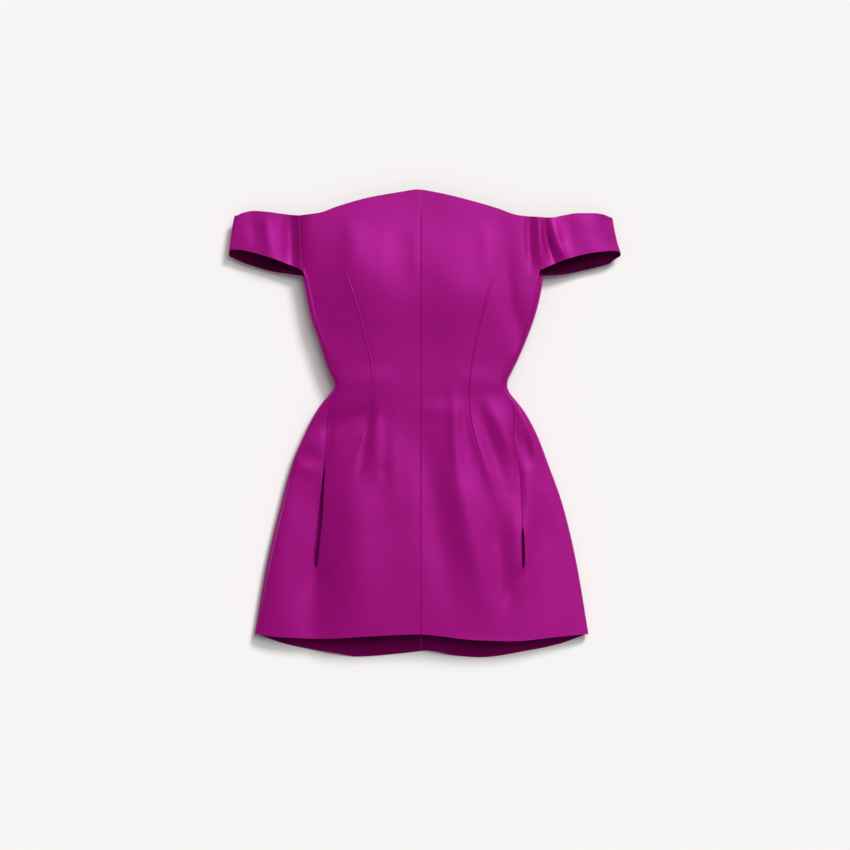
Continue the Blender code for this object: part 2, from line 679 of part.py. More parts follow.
def pocket_bag(side):
    """A flat pouch that hangs behind the side seam and opens into its mouth."""
    levels = [level for level in row_levels() if BAG_FOOT_LEVEL < level < BAG_TOP_LEVEL]
    mouth = {(row, BAG_MOUTH_COLUMNS[0]) for row in mouth_rows(side, levels)}
    shell = bmesh.new()
    skins = {}
    for name, towards_inside, upper in (("outer_top", 0.0, True), ("inner_top", BAG_WALL, True),
                                        ("inner_foot", BAG_WALL, False), ("outer_foot", 0.0, False)):
        grid = bag_skin(side, levels, towards_inside, upper)
        skins[name] = [[shell.verts.new(point) for point in row] for row in grid]
    rows, columns = len(levels) - 1, len(skins["outer_top"][0]) - 1
    for r in range(rows):
        for c in range(columns):
            cell = {name: [grid[r + dr][c + dc] for dr, dc in CELL_CORNERS] for name, grid in skins.items()}
            for name in ("outer_foot", "inner_foot"):
                patch(shell, *cell[name])
            if (r, c) not in mouth:
                patch(shell, *cell["outer_top"])
                patch(shell, *cell["inner_top"])
            for edge, (dr, dc) in enumerate(CELL_NEIGHBOURS):
                after = (edge + 1) % 4
                beside = (r + dr, c + dc)
                if (r, c) in mouth and beside not in mouth:
                    patch(shell, cell["outer_top"][edge], cell["outer_top"][after],
                          cell["inner_top"][after], cell["inner_top"][edge])
                if not (0 <= beside[0] < rows and 0 <= beside[1] < columns):
                    for top, foot in (("outer_top", "outer_foot"), ("inner_top", "inner_foot")):
                        patch(shell, cell[top][edge], cell[top][after], cell[foot][after], cell[foot][edge])
    return finished(f"pocket_bag_{side}", shell, BAG_CLOTH)


def back_zip():
    """The closed zip: its tape lies on the inside of the backs, with the coil and slider down its middle."""
    slider_foot = ZIP_TOP_LEVEL - ZIP_SLIDER_LENGTH
    slider_edges = [slider_foot, slider_foot + ZIP_SLIDER_STEP, ZIP_TOP_LEVEL]
    stretches = between(ZIP_FOOT_LEVEL, slider_foot, 8) + slider_edges
    rows = []
    for level in stretches:
        at_slider = level > slider_foot
        ridge = ZIP_SLIDER_HALF_WIDTH if at_slider else ZIP_COIL_HALF_WIDTH
        thickness = ZIP_SLIDER_THICKNESS if at_slider else ZIP_COIL_THICKNESS
        foot = WALL + SEAM_GAP
        profile = (
            (-ZIP_TAPE_HALF_WIDTH, foot),
            (ZIP_TAPE_HALF_WIDTH, foot),
            (ZIP_TAPE_HALF_WIDTH, foot + ZIP_TAPE_THICKNESS),
            (ridge, foot + ZIP_TAPE_THICKNESS),
            (ridge * ZIP_RIDGE_TOP_SHARE, foot + thickness),
            (-ridge * ZIP_RIDGE_TOP_SHARE, foot + thickness),
            (-ridge, foot + ZIP_TAPE_THICKNESS),
            (-ZIP_TAPE_HALF_WIDTH, foot + ZIP_TAPE_THICKNESS),
        )
        rows.append([Vector((CENTRE_FRONT_X + x, WAIST_Y + level, z)) for x, z in profile])
    shell = bmesh.new()
    loops = [[shell.verts.new(point) for point in row] for row in rows]
    for lower, upper in zip(loops, loops[1:]):
        for i in range(len(lower)):
            j = (i + 1) % len(lower)
            shell.faces.new((lower[i], lower[j], upper[j], upper[i]))
    shell.faces.new(loops[0])
    shell.faces.new(loops[-1])
    return finished("back_zip", shell, ZIP_TAPE)


def clear_scene():
    for thing in list(bpy.data.objects):
        bpy.data.objects.remove(thing, do_unlink=True)


def build_dress():
    clear_scene()
    for side in SIDES:
        body_panel(f"front_{side}", side, front_turns, NECK_FRONT)
        body_panel(f"back_{side}", side, back_turns, NECK_BACK)
        sleeve_band(side)
        pocket_bag(side)
    back_zip()


build_dress()
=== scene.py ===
# %% [markdown]
# # An off-shoulder dress laid flat
#
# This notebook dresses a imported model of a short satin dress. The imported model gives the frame: nine
# closed solids, one for each piece that a maker cuts. Each one is replaced here by a thin shell of
# cloth on the same form, with its seams, darts, pocket mouths and creases.
#
# Units are metres. +Z is up from the surface that the dress lies on, +Y runs towards the neckline, and
# left and right are as seen from above. A "level" is a distance above the waist and "out" is a distance
# to the right of the centre-front seam.

# %% Load the frame
import json
import math
from collections import namedtuple

import bpy
import numpy as np
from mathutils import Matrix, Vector, noise

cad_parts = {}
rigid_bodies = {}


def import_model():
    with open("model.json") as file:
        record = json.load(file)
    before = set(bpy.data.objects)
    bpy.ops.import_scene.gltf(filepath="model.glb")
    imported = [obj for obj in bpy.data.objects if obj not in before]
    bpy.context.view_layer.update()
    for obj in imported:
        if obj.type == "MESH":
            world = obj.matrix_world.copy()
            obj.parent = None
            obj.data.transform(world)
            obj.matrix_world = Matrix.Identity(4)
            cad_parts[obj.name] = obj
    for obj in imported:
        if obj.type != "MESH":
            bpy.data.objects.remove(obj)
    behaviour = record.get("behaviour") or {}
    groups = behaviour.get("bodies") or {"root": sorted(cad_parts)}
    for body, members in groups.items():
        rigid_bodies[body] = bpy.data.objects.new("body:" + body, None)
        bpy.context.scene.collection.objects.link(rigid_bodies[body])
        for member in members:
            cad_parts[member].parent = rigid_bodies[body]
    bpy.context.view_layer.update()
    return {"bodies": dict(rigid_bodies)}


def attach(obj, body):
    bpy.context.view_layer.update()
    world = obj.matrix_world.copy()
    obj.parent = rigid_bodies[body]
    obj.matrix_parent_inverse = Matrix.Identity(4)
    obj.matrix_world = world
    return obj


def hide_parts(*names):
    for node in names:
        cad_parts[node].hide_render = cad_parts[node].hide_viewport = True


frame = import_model()
BODY = next(iter(frame["bodies"]))


def table_of(columns, rows):
    """A table's rows with named columns."""
    row_of = namedtuple("Row", columns)
    return [row_of(*row) for row in rows]


# %% [markdown]
# ## Camera, floor and light
#
# The dress is photographed from straight overhead on a pale sweep. A long lens from far above keeps
# the raised front from growing larger than the hem behind it. The key light comes low from the upper
# right, so that the side folds, which stand off the surface, throw a soft shadow to the lower left.

# %% Camera
PHOTO_PIXELS = 850
METRES_PER_PIXEL = 0.001757
CAMERA_HEIGHT = 14.0
SHARP_HEIGHT = 0.020
SENSOR = 0.036
MILLIMETRES = 1000
CAMERA_X = 0.0004
CAMERA_Y = -0.0026
SIGHT_LIMIT = 50.0


def add_camera():
    """A long lens that looks straight down, with the photograph's scale at the height of the side folds."""
    seen = PHOTO_PIXELS * METRES_PER_PIXEL
    lens = bpy.data.cameras.new("camera")
    lens.sensor_width = SENSOR * MILLIMETRES
    lens.lens = SENSOR * MILLIMETRES * (CAMERA_HEIGHT - SHARP_HEIGHT) / seen
    lens.clip_end = SIGHT_LIMIT
    camera = bpy.data.objects.new("camera", lens)
    camera.location = (CAMERA_X, CAMERA_Y, CAMERA_HEIGHT)
    bpy.context.scene.collection.objects.link(camera)
    bpy.context.scene.camera = camera
    print("camera sees", round(seen, 3), "m with a lens of", round(lens.lens), "mm")


add_camera()

# %% Floor and light
FLOOR_SIZE = 14.0
FLOOR_HEIGHT = -0.0004
FLOOR_COLOUR = (0.90, 0.885, 0.875, 1.0)


def deselect_all():
    for thing in bpy.context.selected_objects:
        thing.select_set(False)


def set_inputs(node, values):
    """Sets the constants of a node by the names of its sockets."""
    for socket, value in values.items():
        node.inputs[socket].default_value = value


def add_floor():
    """A wide pale sweep, a hair below the cloth so that the two never share a plane."""
    deselect_all()
    bpy.ops.mesh.primitive_plane_add(size=FLOOR_SIZE, location=(0, 0, FLOOR_HEIGHT))
    floor = bpy.context.object
    floor.name = "floor"
    paint = bpy.data.materials.new("floor_paper")
    paint.use_nodes = True
    set_inputs(paint.node_tree.nodes["Principled BSDF"],
               {"Base Color": FLOOR_COLOUR, "Roughness": 0.9, "Specular IOR Level": 0.1})
    floor.data.materials.append(paint)


LAMPS = table_of("name towards strength spread", (
    ("key", (0.42, 0.72, 0.62), 2.45, 16),
    ("softbox", (0.235, 0.405, 0.883), 1.1, 36),
))
SKY = (1.0, 0.995, 0.99, 1.0)
SKY_STRENGTH = 0.27


def add_lights():
    """Wide, soft suns light the whole sweep evenly, and a pale sky fills the shadows."""
    for lamp in LAMPS:
        sun = bpy.data.lights.new(lamp.name, "SUN")
        sun.energy = lamp.strength
        sun.angle = math.radians(lamp.spread)
        holder = bpy.data.objects.new(lamp.name, sun)
        holder.rotation_euler = Vector(lamp.towards).to_track_quat("Z", "Y").to_euler()
        bpy.context.scene.collection.objects.link(holder)
    bpy.context.scene.view_settings.view_transform = "Standard"
    world = bpy.data.worlds.new("studio")
    world.use_nodes = True
    set_inputs(world.node_tree.nodes["Background"], {"Color": SKY, "Strength": SKY_STRENGTH})
    bpy.context.scene.world = world
    print("lights:", len(LAMPS))


add_floor()
add_lights()

# %% [markdown]
# ## Sizes of the dress
#
# These are the garment's own measurements, the same ones that its pieces were cut to. Each table has a
# row for one level or one place, and a smooth curve is drawn through each column. The curve never swings
# past its rows, so the waist stays as sharp as the rows make it.

# %% Tables of the form
CENTRE_FRONT_X = -0.0065
WAIST_Y = 0.0627
HEM_LEVEL = -0.433
UNDERARM_LEVEL = 0.196
ARMHOLE_FOOT_LEVEL = 0.214
SHOULDER_LEVEL = 0.303
CLOTH = 0.0007
SEAM_GAP = 0.00010
SIDES = {"left": -1.0, "right": 1.0}

BY_SIDE = "level left right"
WIDTHS = table_of(BY_SIDE, (
    (-0.433, 0.293, 0.2945),
    (-0.311, 0.272, 0.274),
    (-0.209, 0.248, 0.25),
    (-0.127, 0.225, 0.221),
    (-0.083, 0.206, 0.204),
    (-0.047, 0.188, 0.185),
    (-0.025, 0.173, 0.169),
    (-0.011, 0.161, 0.1575),
    (-0.004, 0.156, 0.1535),
    (0.004, 0.153, 0.1515),
    (0.011, 0.154, 0.152),
    (0.025, 0.161, 0.158),
    (0.049, 0.17, 0.17),
    (0.084, 0.181, 0.185),
    (0.119, 0.193, 0.198),
    (0.155, 0.201, 0.208),
    (0.19, 0.208, 0.214),
    (0.206, 0.215, 0.215),
    (0.303, 0.2196, 0.2135),
))
SECTIONS = table_of("level side_height fold crown lift_run", (
    (-0.433, 0.01, 0.005, 0.037, 0.07),
    (-0.311, 0.011, 0.006, 0.0405, 0.07),
    (-0.209, 0.012, 0.006, 0.0415, 0.075),
    (-0.083, 0.017, 0.007, 0.04, 0.085),
    (-0.025, 0.022, 0.007, 0.0402, 0.09),
    (0.011, 0.025, 0.007, 0.0408, 0.09),
    (0.084, 0.026, 0.008, 0.0405, 0.1),
    (0.155, 0.026, 0.008, 0.0412, 0.11),
    (0.206, 0.025, 0.008, 0.04, 0.11),
    (0.303, 0.022, 0.007, 0.034, 0.1),
    (0.35, 0.02, 0.006, 0.0305, 0.1),
))
CROWN_POWER = 2.2
UNDERARM_CURL = 0.38
UNDERARM_LAP = 0.0014
print("rows of widths:", len(WIDTHS), "rows of sections:", len(SECTIONS))

# %% Tables of the edges
EDGE_COLUMNS = "out level"
FRONT_NECKLINE = table_of(EDGE_COLUMNS, (
    (-0.2139, 0.303),
    (-0.177, 0.308),
    (-0.149, 0.318),
    (-0.093, 0.334),
    (-0.037, 0.344),
    (-0.006, 0.3485),
    (0.019, 0.345),
    (0.076, 0.332),
    (0.132, 0.316),
    (0.172, 0.303),
    (0.2078, 0.3),
))
BACK_NECKLINE = table_of(EDGE_COLUMNS, (
    (-0.2139, 0.297),
    (-0.15, 0.294),
    (0.0, 0.287),
    (0.15, 0.292),
    (0.2078, 0.294),
))
FRONT_HEM = table_of(EDGE_COLUMNS, (
    (-0.2889, -0.433),
    (-0.258, -0.4375),
    (-0.174, -0.4407),
    (-0.09, -0.4364),
    (-0.005, -0.433),
    (0.095, -0.443),
    (0.158, -0.445),
    (0.242, -0.4375),
    (0.2904, -0.433),
))
BACK_HEM = table_of(EDGE_COLUMNS, (
    (-0.2889, -0.433),
    (-0.234, -0.4515),
    (-0.149, -0.467),
    (-0.112, -0.4725),
    (-0.023, -0.4656),
    (0.01, -0.462),
    (0.061, -0.471),
    (0.104, -0.4738),
    (0.188, -0.462),
    (0.244, -0.45),
    (0.2904, -0.433),
))
HEM_SHAPING_TOP = -0.300
NECK_SHAPING_FOOT = 0.214
hem_dips = [min(row.level for row in hem) for hem in (FRONT_HEM, BACK_HEM)]
print("lowest places of the front and back hems:", hem_dips)

# %% Tables of the seams
DART_LINE = table_of(BY_SIDE, (
    (-0.433, 0.14, 0.14),
    (-0.152, 0.116, 0.109),
    (-0.122, 0.114, 0.104),
    (-0.091, 0.106, 0.095),
    (-0.054, 0.094, 0.0866),
    (-0.018, 0.0835, 0.0835),
    (0.013, 0.0815, 0.085),
    (0.043, 0.084, 0.088),
    (0.08, 0.093, 0.095),
    (0.116, 0.102, 0.104),
    (0.159, 0.114, 0.114),
    (0.208, 0.13, 0.126),
    (0.303, 0.14, 0.135),
))
DART_FOOT_LEVEL = -0.152
DART_TOP_LEVEL = 0.208
SIDE_SEAM = table_of(BY_SIDE, (
    (-0.433, 0.16, 0.169),
    (-0.372, 0.174, 0.174),
    (-0.318, 0.186, 0.1795),
    (-0.22, 0.1775, 0.177),
    (-0.139, 0.1705, 0.1725),
    (-0.091, 0.1675, 0.164),
    (-0.035, 0.1625, 0.1615),
    (-0.014, 0.153, 0.149),
    (0.0, 0.1465, 0.142),
    (0.023, 0.149, 0.143),
    (0.063, 0.167, 0.17),
    (0.093, 0.1785, 0.1815),
    (0.119, 0.1835, 0.191),
    (0.155, 0.189, 0.1985),
    (0.19, 0.2, 0.206),
    (0.206, 0.2085, 0.2085),
    (0.303, 0.2139, 0.2078),
))
MOUTH_HALF_WIDTH = table_of(BY_SIDE, (
    (-0.318, 0.0, 0.0),
    (-0.312, 0.0028, 0.002),
    (-0.3, 0.004, 0.0026),
    (-0.262, 0.0044, 0.0024),
    (-0.241, 0.0042, 0.0),
    (-0.169, 0.0022, 0.0),
    (-0.121, 0.0, 0.0),
))
MOUTH_FOOT_LEVEL = -0.318
MOUTH_TOP_LEVEL = {"left": -0.121, "right": -0.241}
mouth_lengths = [round(top - MOUTH_FOOT_LEVEL, 3) for top in MOUTH_TOP_LEVEL.values()]
print("darts:", round(DART_TOP_LEVEL - DART_FOOT_LEVEL, 3), "m long, mouths:", mouth_lengths, "m")

# %% Curves through the tables


class Curve:
    """A smooth curve through a table's places and values that never swings past them."""

    def __init__(self, places, values):
        self.places = np.array(places, float)
        self.values = np.array(values, float)
        slopes = np.diff(self.values) / np.diff(self.places)
        before, after = slopes[:-1], slopes[1:]
        same_way = before * after > 0
        total = np.where(same_way, before + after, 1.0)
        middle = np.where(same_way, 2 * before * after / total, 0.0)
        self.tangents = np.concatenate([slopes[:1], middle, slopes[-1:]])

    def __call__(self, place):
        held = np.clip(np.asarray(place, float), self.places[0], self.places[-1])
        row = np.clip(np.searchsorted(self.places, held, side="right") - 1, 0, len(self.places) - 2)
        step = self.places[row + 1] - self.places[row]
        t = (held - self.places[row]) / step
        start, end = self.values[row], self.values[row + 1]
        leave, arrive = self.tangents[row] * step, self.tangents[row + 1] * step
        return (start * (1 + 2 * t) * (1 - t) ** 2 + leave * t * (1 - t) ** 2
                + end * t * t * (3 - 2 * t) + arrive * t * t * (t - 1))


def column(table, place_name, value_name):
    """One column of a table as a curve over another."""
    return Curve([getattr(row, place_name) for row in table], [getattr(row, value_name) for row in table])


def both_sides(table, place_name="level"):
    return {side: column(table, place_name, side) for side in SIDES}


HALF_WIDTH = both_sides(WIDTHS)
DART = both_sides(DART_LINE)
SEAM = both_sides(SIDE_SEAM)
MOUTH = both_sides(MOUTH_HALF_WIDTH)
SIDE_HEIGHT = column(SECTIONS, "level", "side_height")
FOLD = column(SECTIONS, "level", "fold")
CROWN = column(SECTIONS, "level", "crown")
LIFT_RUN = column(SECTIONS, "level", "lift_run")
NECK_FRONT = column(FRONT_NECKLINE, "out", "level")
NECK_BACK = column(BACK_NECKLINE, "out", "level")
HEM_FRONT = column(FRONT_HEM, "out", "level")
HEM_BACK = column(BACK_HEM, "out", "level")
flat_waist = sum(half_width(0.0) for half_width in HALF_WIDTH.values())
print("the flat waist is", round(float(flat_waist), 3), "m wide")

# %% [markdown]
# ## The laid form
#
# A dress that lies on its back is a flattened tube. Its back rests on the surface and curls up towards
# the sides, each side turns round in a narrow fold, and the front arches over the hollow between. A place
# on the tube is given by its level and by a "turn", which runs from 0 at the centre back to 1 and 2 at the
# start and end of the side fold, and 3 at the centre front.

# %% The tube
FOLD_MIDDLE = 1.5


def eased(share):
    """A share from 0 to 1 with a soft start and end."""
    held = np.clip(share, 0.0, 1.0)
    return held * held * (3 - 2 * held)


def bulge(share):
    """The quarter circle of a fold: 0 at its outermost line, 1 where it has turned flat."""
    held = np.clip(share, 0.0, 1.0)
    return np.sqrt(held * (2 - held))


def front_height(side, level, inset):
    """Height of the front's outer face, at a distance in from the side, before its creases."""
    fold = FOLD(level)
    side_height = SIDE_HEIGHT(level)
    across = np.abs(1 - inset / HALF_WIDTH[side](level))
    arch = (CROWN(level) - side_height - fold) * (1 - across ** CROWN_POWER)
    return side_height + fold * bulge(inset / fold) + arch


def back_height(level, inset):
    """Height of the back's outer face, which leaves the surface towards the side."""
    fold = FOLD(level)
    side_height = SIDE_HEIGHT(level)
    share = np.clip(inset / LIFT_RUN(level), 0.0, 1.0)
    return side_height - fold * bulge(inset / fold) - (side_height - fold) * (1 - (1 - share) ** 2)


def body_inset(side, turn, level):
    """How far in from the side of the dress a turn lies."""
    half = HALF_WIDTH[side](level)
    fold = FOLD(level)
    in_fold = fold * (1 - np.sin(np.pi * (turn - 1)))
    return np.where(turn < 1, fold + (half - fold) * (1 - turn),
                    np.where(turn > 2, fold + (half - fold) * (turn - 2), in_fold))


def body_points(side, turn, level):
    """Points of the body's outer face, before its creases, as an array of x, y, z."""
    half = HALF_WIDTH[side](level)
    inset = body_inset(side, turn, level)
    height = np.where(turn <= FOLD_MIDDLE, back_height(level, inset), front_height(side, level, inset))
    return np.stack([CENTRE_FRONT_X + SIDES[side] * (half - inset), WAIST_Y + level, height], axis=-1)


def front_turn(side, level, out):
    """The turn of a place on the front half of the tube, from how far out it lies."""
    fold = FOLD(level)
    reach = HALF_WIDTH[side](level) - fold
    in_fold = 2 - np.arcsin(np.clip((out - reach) / fold, 0, 1)) / np.pi
    return np.where(out < reach, 2 + (reach - out) / reach, in_fold)


def places_of(points):
    """How far out and at which level the points of a grid lie."""
    return points[..., 0] - CENTRE_FRONT_X, points[..., 1] - WAIST_Y


def above_underarm(level):
    """The share of the way from the underarm up to where the back's armhole runs straight."""
    return np.clip((level - UNDERARM_LEVEL) / (ARMHOLE_FOOT_LEVEL - UNDERARM_LEVEL), 0.0, 1.0)


def edged(side, turn, level, neckline):
    """The levels of a row, bent so that the first row is the hem and the last the neckline."""
    half = HALF_WIDTH[side](level)
    out = SIDES[side] * (half - body_inset(side, turn, level))
    hem_share = eased((HEM_SHAPING_TOP - level) / (HEM_SHAPING_TOP - HEM_LEVEL))
    neck_share = eased((level - NECK_SHAPING_FOOT) / (SHOULDER_LEVEL - NECK_SHAPING_FOOT))
    hem_out = out * HALF_WIDTH[side](HEM_LEVEL) / half
    hem = np.where(turn > FOLD_MIDDLE, HEM_FRONT(hem_out), HEM_BACK(hem_out))
    neck_shift = neckline(out * HALF_WIDTH[side](SHOULDER_LEVEL) / half) - SHOULDER_LEVEL
    return level + hem_share * (hem - HEM_LEVEL) + neck_share * neck_shift


waist_height = front_height("left", 0.0, HALF_WIDTH["left"](0.0))
print("the smooth form stands", round(float(waist_height), 4), "m high at the middle of the waist")

# %% [markdown]
# ## Creases
#
# Each crease is a line of places on the cloth, with how far the cloth rises or sinks on it and how wide
# it is. The rise dies away along both ends, so a crease never stops short. The imported model has the
# broadest of them, simpler and shallower; the finer ones are only here.

# %% Crease tools
CREASE_COLUMNS = "name rise width places"
CREASE_TAPER = 0.42
RIPPLE_SHIFT = Vector((7.3, 3.1, 1.7))


def smooth_line(places, steps=6):
    """A rounded line through a few places."""
    pts = np.array(places, float)
    padded = np.vstack([2 * pts[0] - pts[1], pts, 2 * pts[-1] - pts[-2]])
    line = []
    for before, start, end, after in zip(padded, padded[1:], padded[2:], padded[3:]):
        for t in np.arange(steps) / steps:
            square = (2 * before - 5 * start + 4 * end - after) * t ** 2
            cube = (3 * start - before - 3 * end + after) * t ** 3
            line.append(0.5 * (2 * start + (end - before) * t + square + cube))
    line.append(pts[-1])
    return np.array(line)


def crease_height(crease, out, level):
    """How far one crease moves the cloth, for whole arrays of places."""
    line = smooth_line(crease.places)
    nearest = np.full(out.shape, np.inf)
    along = np.zeros(out.shape)
    count = len(line) - 1
    for i, (start, end) in enumerate(zip(line, line[1:])):
        run = end - start
        share = ((out - start[0]) * run[0] + (level - start[1]) * run[1]) / (run @ run)
        share = np.clip(share, 0.0, 1.0)
        off = np.hypot(out - start[0] - share * run[0], level - start[1] - share * run[1])
        closer = off < nearest
        nearest = np.where(closer, off, nearest)
        along = np.where(closer, (i + share) / count, along)
    taper = eased(np.minimum(along, 1 - along) / CREASE_TAPER)
    return crease.rise * taper * np.exp(-(nearest / crease.width) ** 2)


def creases_height(creases, out, level):
    total = np.zeros(out.shape)
    for crease in creases:
        total += crease_height(crease, out, level)
    return total


def ripple(points, size, rise, seed):
    """A slow unevenness of the whole cloth, the same on every run."""
    flat = points.reshape(-1, 3)
    values = [noise.noise(Vector(point) / size + seed * RIPPLE_SHIFT) for point in flat]
    return rise * np.array(values).reshape(points.shape[:-1])


print("a line of three places is rounded to", len(smooth_line(((0, 0), (1, 1), (2, 0)))), "points")

# %% [markdown]
# ## Cloth shells
#
# A panel starts as a grid primitive. Each of its points has a place across and along the piece, and is
# moved onto the laid form, lifted or sunk by the creases there, and rolled in along the seams, as a
# sewn edge is. Its UV map is the cloth's own, in metres, so that the weave follows the piece, and each
# kind of piece takes its weave from another place in the cloth. A Solidify modifier then gives the thin
# wall, on the inner side, so that the outer face keeps the form. The creases take up about 2 % more cloth
# than the smooth form under them.

# %% Columns and seams
ROLL_DEPTH = 0.0003
ROLL_WIDTH = 0.0011
ALLOWANCE_DEPTH = 0.0030
ALLOWANCE_WIDTH = 0.00010
LEAST_TURN = 0.0004
LEAST_LENGTH = 1e-12


def spread(start, end, steps):
    """Places from start up to but not at the end, evenly apart, for one row or for many."""
    share = np.arange(steps) / steps
    return np.asarray(start)[..., None] + (np.asarray(end) - np.asarray(start))[..., None] * share


def in_order(marks):
    """Keeps the marks across each row in order, where a seam runs close to the fold."""
    kept = [marks[0]]
    for turn, steps in marks[1:]:
        last_turn, last_steps = kept[-1]
        kept.append((np.maximum(turn, last_turn + LEAST_TURN * max(last_steps, 1)), steps))
    return kept


def columns_between(marks):
    """The columns of a piece, from pairs of a place across each row and the steps up to the next place."""
    marks = in_order(marks)
    columns = [spread(start, end, steps) for (start, steps), (end, _) in zip(marks, marks[1:])]
    return np.concatenate(columns + [marks[-1][0][:, None]], axis=1)


def roll(distance, share=1.0, allowance=ALLOWANCE_DEPTH):
    """How far an edge rolls in at a distance from its seam, and turns down there as the allowance."""
    turned = allowance * np.exp(-(distance / ALLOWANCE_WIDTH) ** 2)
    return -share * ROLL_DEPTH * np.exp(-(distance / ROLL_WIDTH) ** 2) - turned


def outward_normals(points, sign):
    """The outward direction at each point of a grid."""
    across = np.gradient(points, axis=1)
    along = np.gradient(points, axis=0)
    normal = np.cross(across, along) * sign
    length = np.linalg.norm(normal, axis=-1, keepdims=True)
    return normal / np.maximum(length, LEAST_LENGTH)


print("an edge turns down by", round(-float(roll(0.0)), 4), "m at its seam")

# %% Grid to cloth
SMOOTH_ANGLE = math.radians(60)
CLOTH_PLACE = {"back": 1.0, "sleeve": 2.0, "pocket": 3.0, "zip": 5.0}


def grid_piece(name, points, uvs):
    """Adds a grid primitive and lays its points on the form, with the cloth's own UV map."""
    rows, columns = points.shape[:2]
    deselect_all()
    bpy.ops.mesh.primitive_grid_add(x_subdivisions=columns - 1, y_subdivisions=rows - 1, size=1)
    piece = bpy.context.object
    piece.name = name
    mesh = piece.data
    mesh.name = name
    mesh.vertices.foreach_set("co", points.reshape(-1).astype(np.float32))
    corner_points = np.zeros(len(mesh.loops), np.int32)
    mesh.loops.foreach_get("vertex_index", corner_points)
    mesh.uv_layers[0].name = "cloth"
    corner_uvs = uvs.reshape(-1, 2)[corner_points].astype(np.float32)
    mesh.uv_layers[0].data.foreach_set("uv", corner_uvs.reshape(-1))
    mesh.update()
    return piece


def face_outwards(piece, upwards, above=0.0):
    """Flips a sheet if its faces above a height point the wrong way, as their sum tells."""
    total = sum(face.normal.z * face.area for face in piece.data.polygons if face.center.z > above)
    if (total > 0) != upwards:
        piece.data.flip_normals()


def thicken(piece, face, reverse, thickness):
    """Gives a sheet its wall, on its inner side, with the reverse material there, which on the satin pieces
    is painted darker as shade.
    """
    piece.data.materials.append(face)
    piece.data.materials.append(reverse)
    deselect_all()
    piece.select_set(True)
    bpy.context.view_layer.objects.active = piece
    wall = piece.modifiers.new("wall", "SOLIDIFY")
    wall.thickness = thickness
    wall.offset = -1.0
    wall.use_quality_normals = True
    wall.material_offset = 1
    bpy.ops.object.modifier_apply(modifier=wall.name)
    bpy.ops.object.shade_smooth_by_angle(angle=SMOOTH_ANGLE)


def finish_cloth(piece, node, cut, face, reverse, thickness=CLOTH):
    """Gives a piece its wall in place of a part of the imported model, and says how large it was cut: width,
    then length.
    """
    thicken(piece, face, reverse, thickness)
    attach(piece, BODY)
    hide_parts(node)
    print(piece.name, "faces:", len(piece.data.polygons), "cut:", [round(side, 3) for side in cut], "m")


def distances(points):
    """How far along its row each point of a grid lies from the row's start."""
    steps = np.linalg.norm(np.diff(points, axis=1), axis=-1)
    return np.concatenate([np.zeros((len(points), 1)), np.cumsum(steps, axis=1)], axis=1)


# %% [markdown]
# ## Satin
#
# The dress is a heavy satin with a faint crosswise rib and slubs: short, slightly lighter threads
# that run straight across the cloth. Its colour hardly varies, so the look comes from a pink gloss on the
# creases, which a tinted specular gives. The weave is a shared node group that reads the cloth's own UV
# map, and puts out a colour, a roughness and a normal. The shader itself stays in each material. The
# cloth's inner side is duller, and its colour is painted darker as shade for the dim inside of the hem,
# and far darker inside the sleeves as painted shade where hardly any light gets in.

# %% Weave group
SATIN = (0.245, 0.0002, 0.118, 1.0)
SATIN_LIGHT = (0.300, 0.0008, 0.152, 1.0)
RIB_LENGTH = 1 / 60
RIB_PITCH = 0.0009
SLUB_PITCH = 0.0022
SLUB_LENGTH = 0.016
SLUB_RANGE = {"From Min": 0.42, "From Max": 0.78}
CLOUD_SCALE = (14, 22, 1)
CLOUD_SHARE = 0.35
CLOUD_START = -0.10
RIB_ROUGHNESS = 0.10
SLUB_RISE = 0.6
THREAD_RISE = 0.0002
WEAVE_INPUTS = {"Colour": SATIN, "Thread Colour": SATIN_LIGHT, "Slub Amount": 0.5, "Bump": 0.3,
                "Gloss Roughness": 0.5}
WEAVE_OUTPUTS = {"Colour": "NodeSocketColor", "Roughness": "NodeSocketFloat", "Normal": "NodeSocketVector"}


def add_node(tree, kind, place, values=None, **settings):
    """Adds a shader node at a place in the editor, with its settings and the constants of its inputs."""
    made = tree.nodes.new(kind)
    made.location = place
    for key, value in settings.items():
        setattr(made, key, value)
    set_inputs(made, values or {})
    return made


def threads(tree, cloth_uv, scale, height, **noise_values):
    """A noise stretched to threads or clouds, from the cloth's own coordinates in metres."""
    stretch = add_node(tree, "ShaderNodeMapping", (-1000, height), {"Scale": scale})
    pattern = add_node(tree, "ShaderNodeTexNoise", (-800, height), {"Scale": 1.0, **noise_values},
                       noise_dimensions="2D")
    tree.links.new(cloth_uv.outputs["UV"], stretch.inputs["Vector"])
    tree.links.new(stretch.outputs["Vector"], pattern.inputs["Vector"])
    return pattern.outputs["Fac"]


def maths(tree, operation, place, *inputs, **settings):
    """A maths node: each input is a socket to link or a constant to set. It gives back its output."""
    made = add_node(tree, "ShaderNodeMath", place, operation=operation, **settings)
    for socket, value in zip(made.inputs, inputs):
        if isinstance(value, bpy.types.NodeSocket):
            tree.links.new(value, socket)
        else:
            socket.default_value = value
    return made.outputs["Value"]


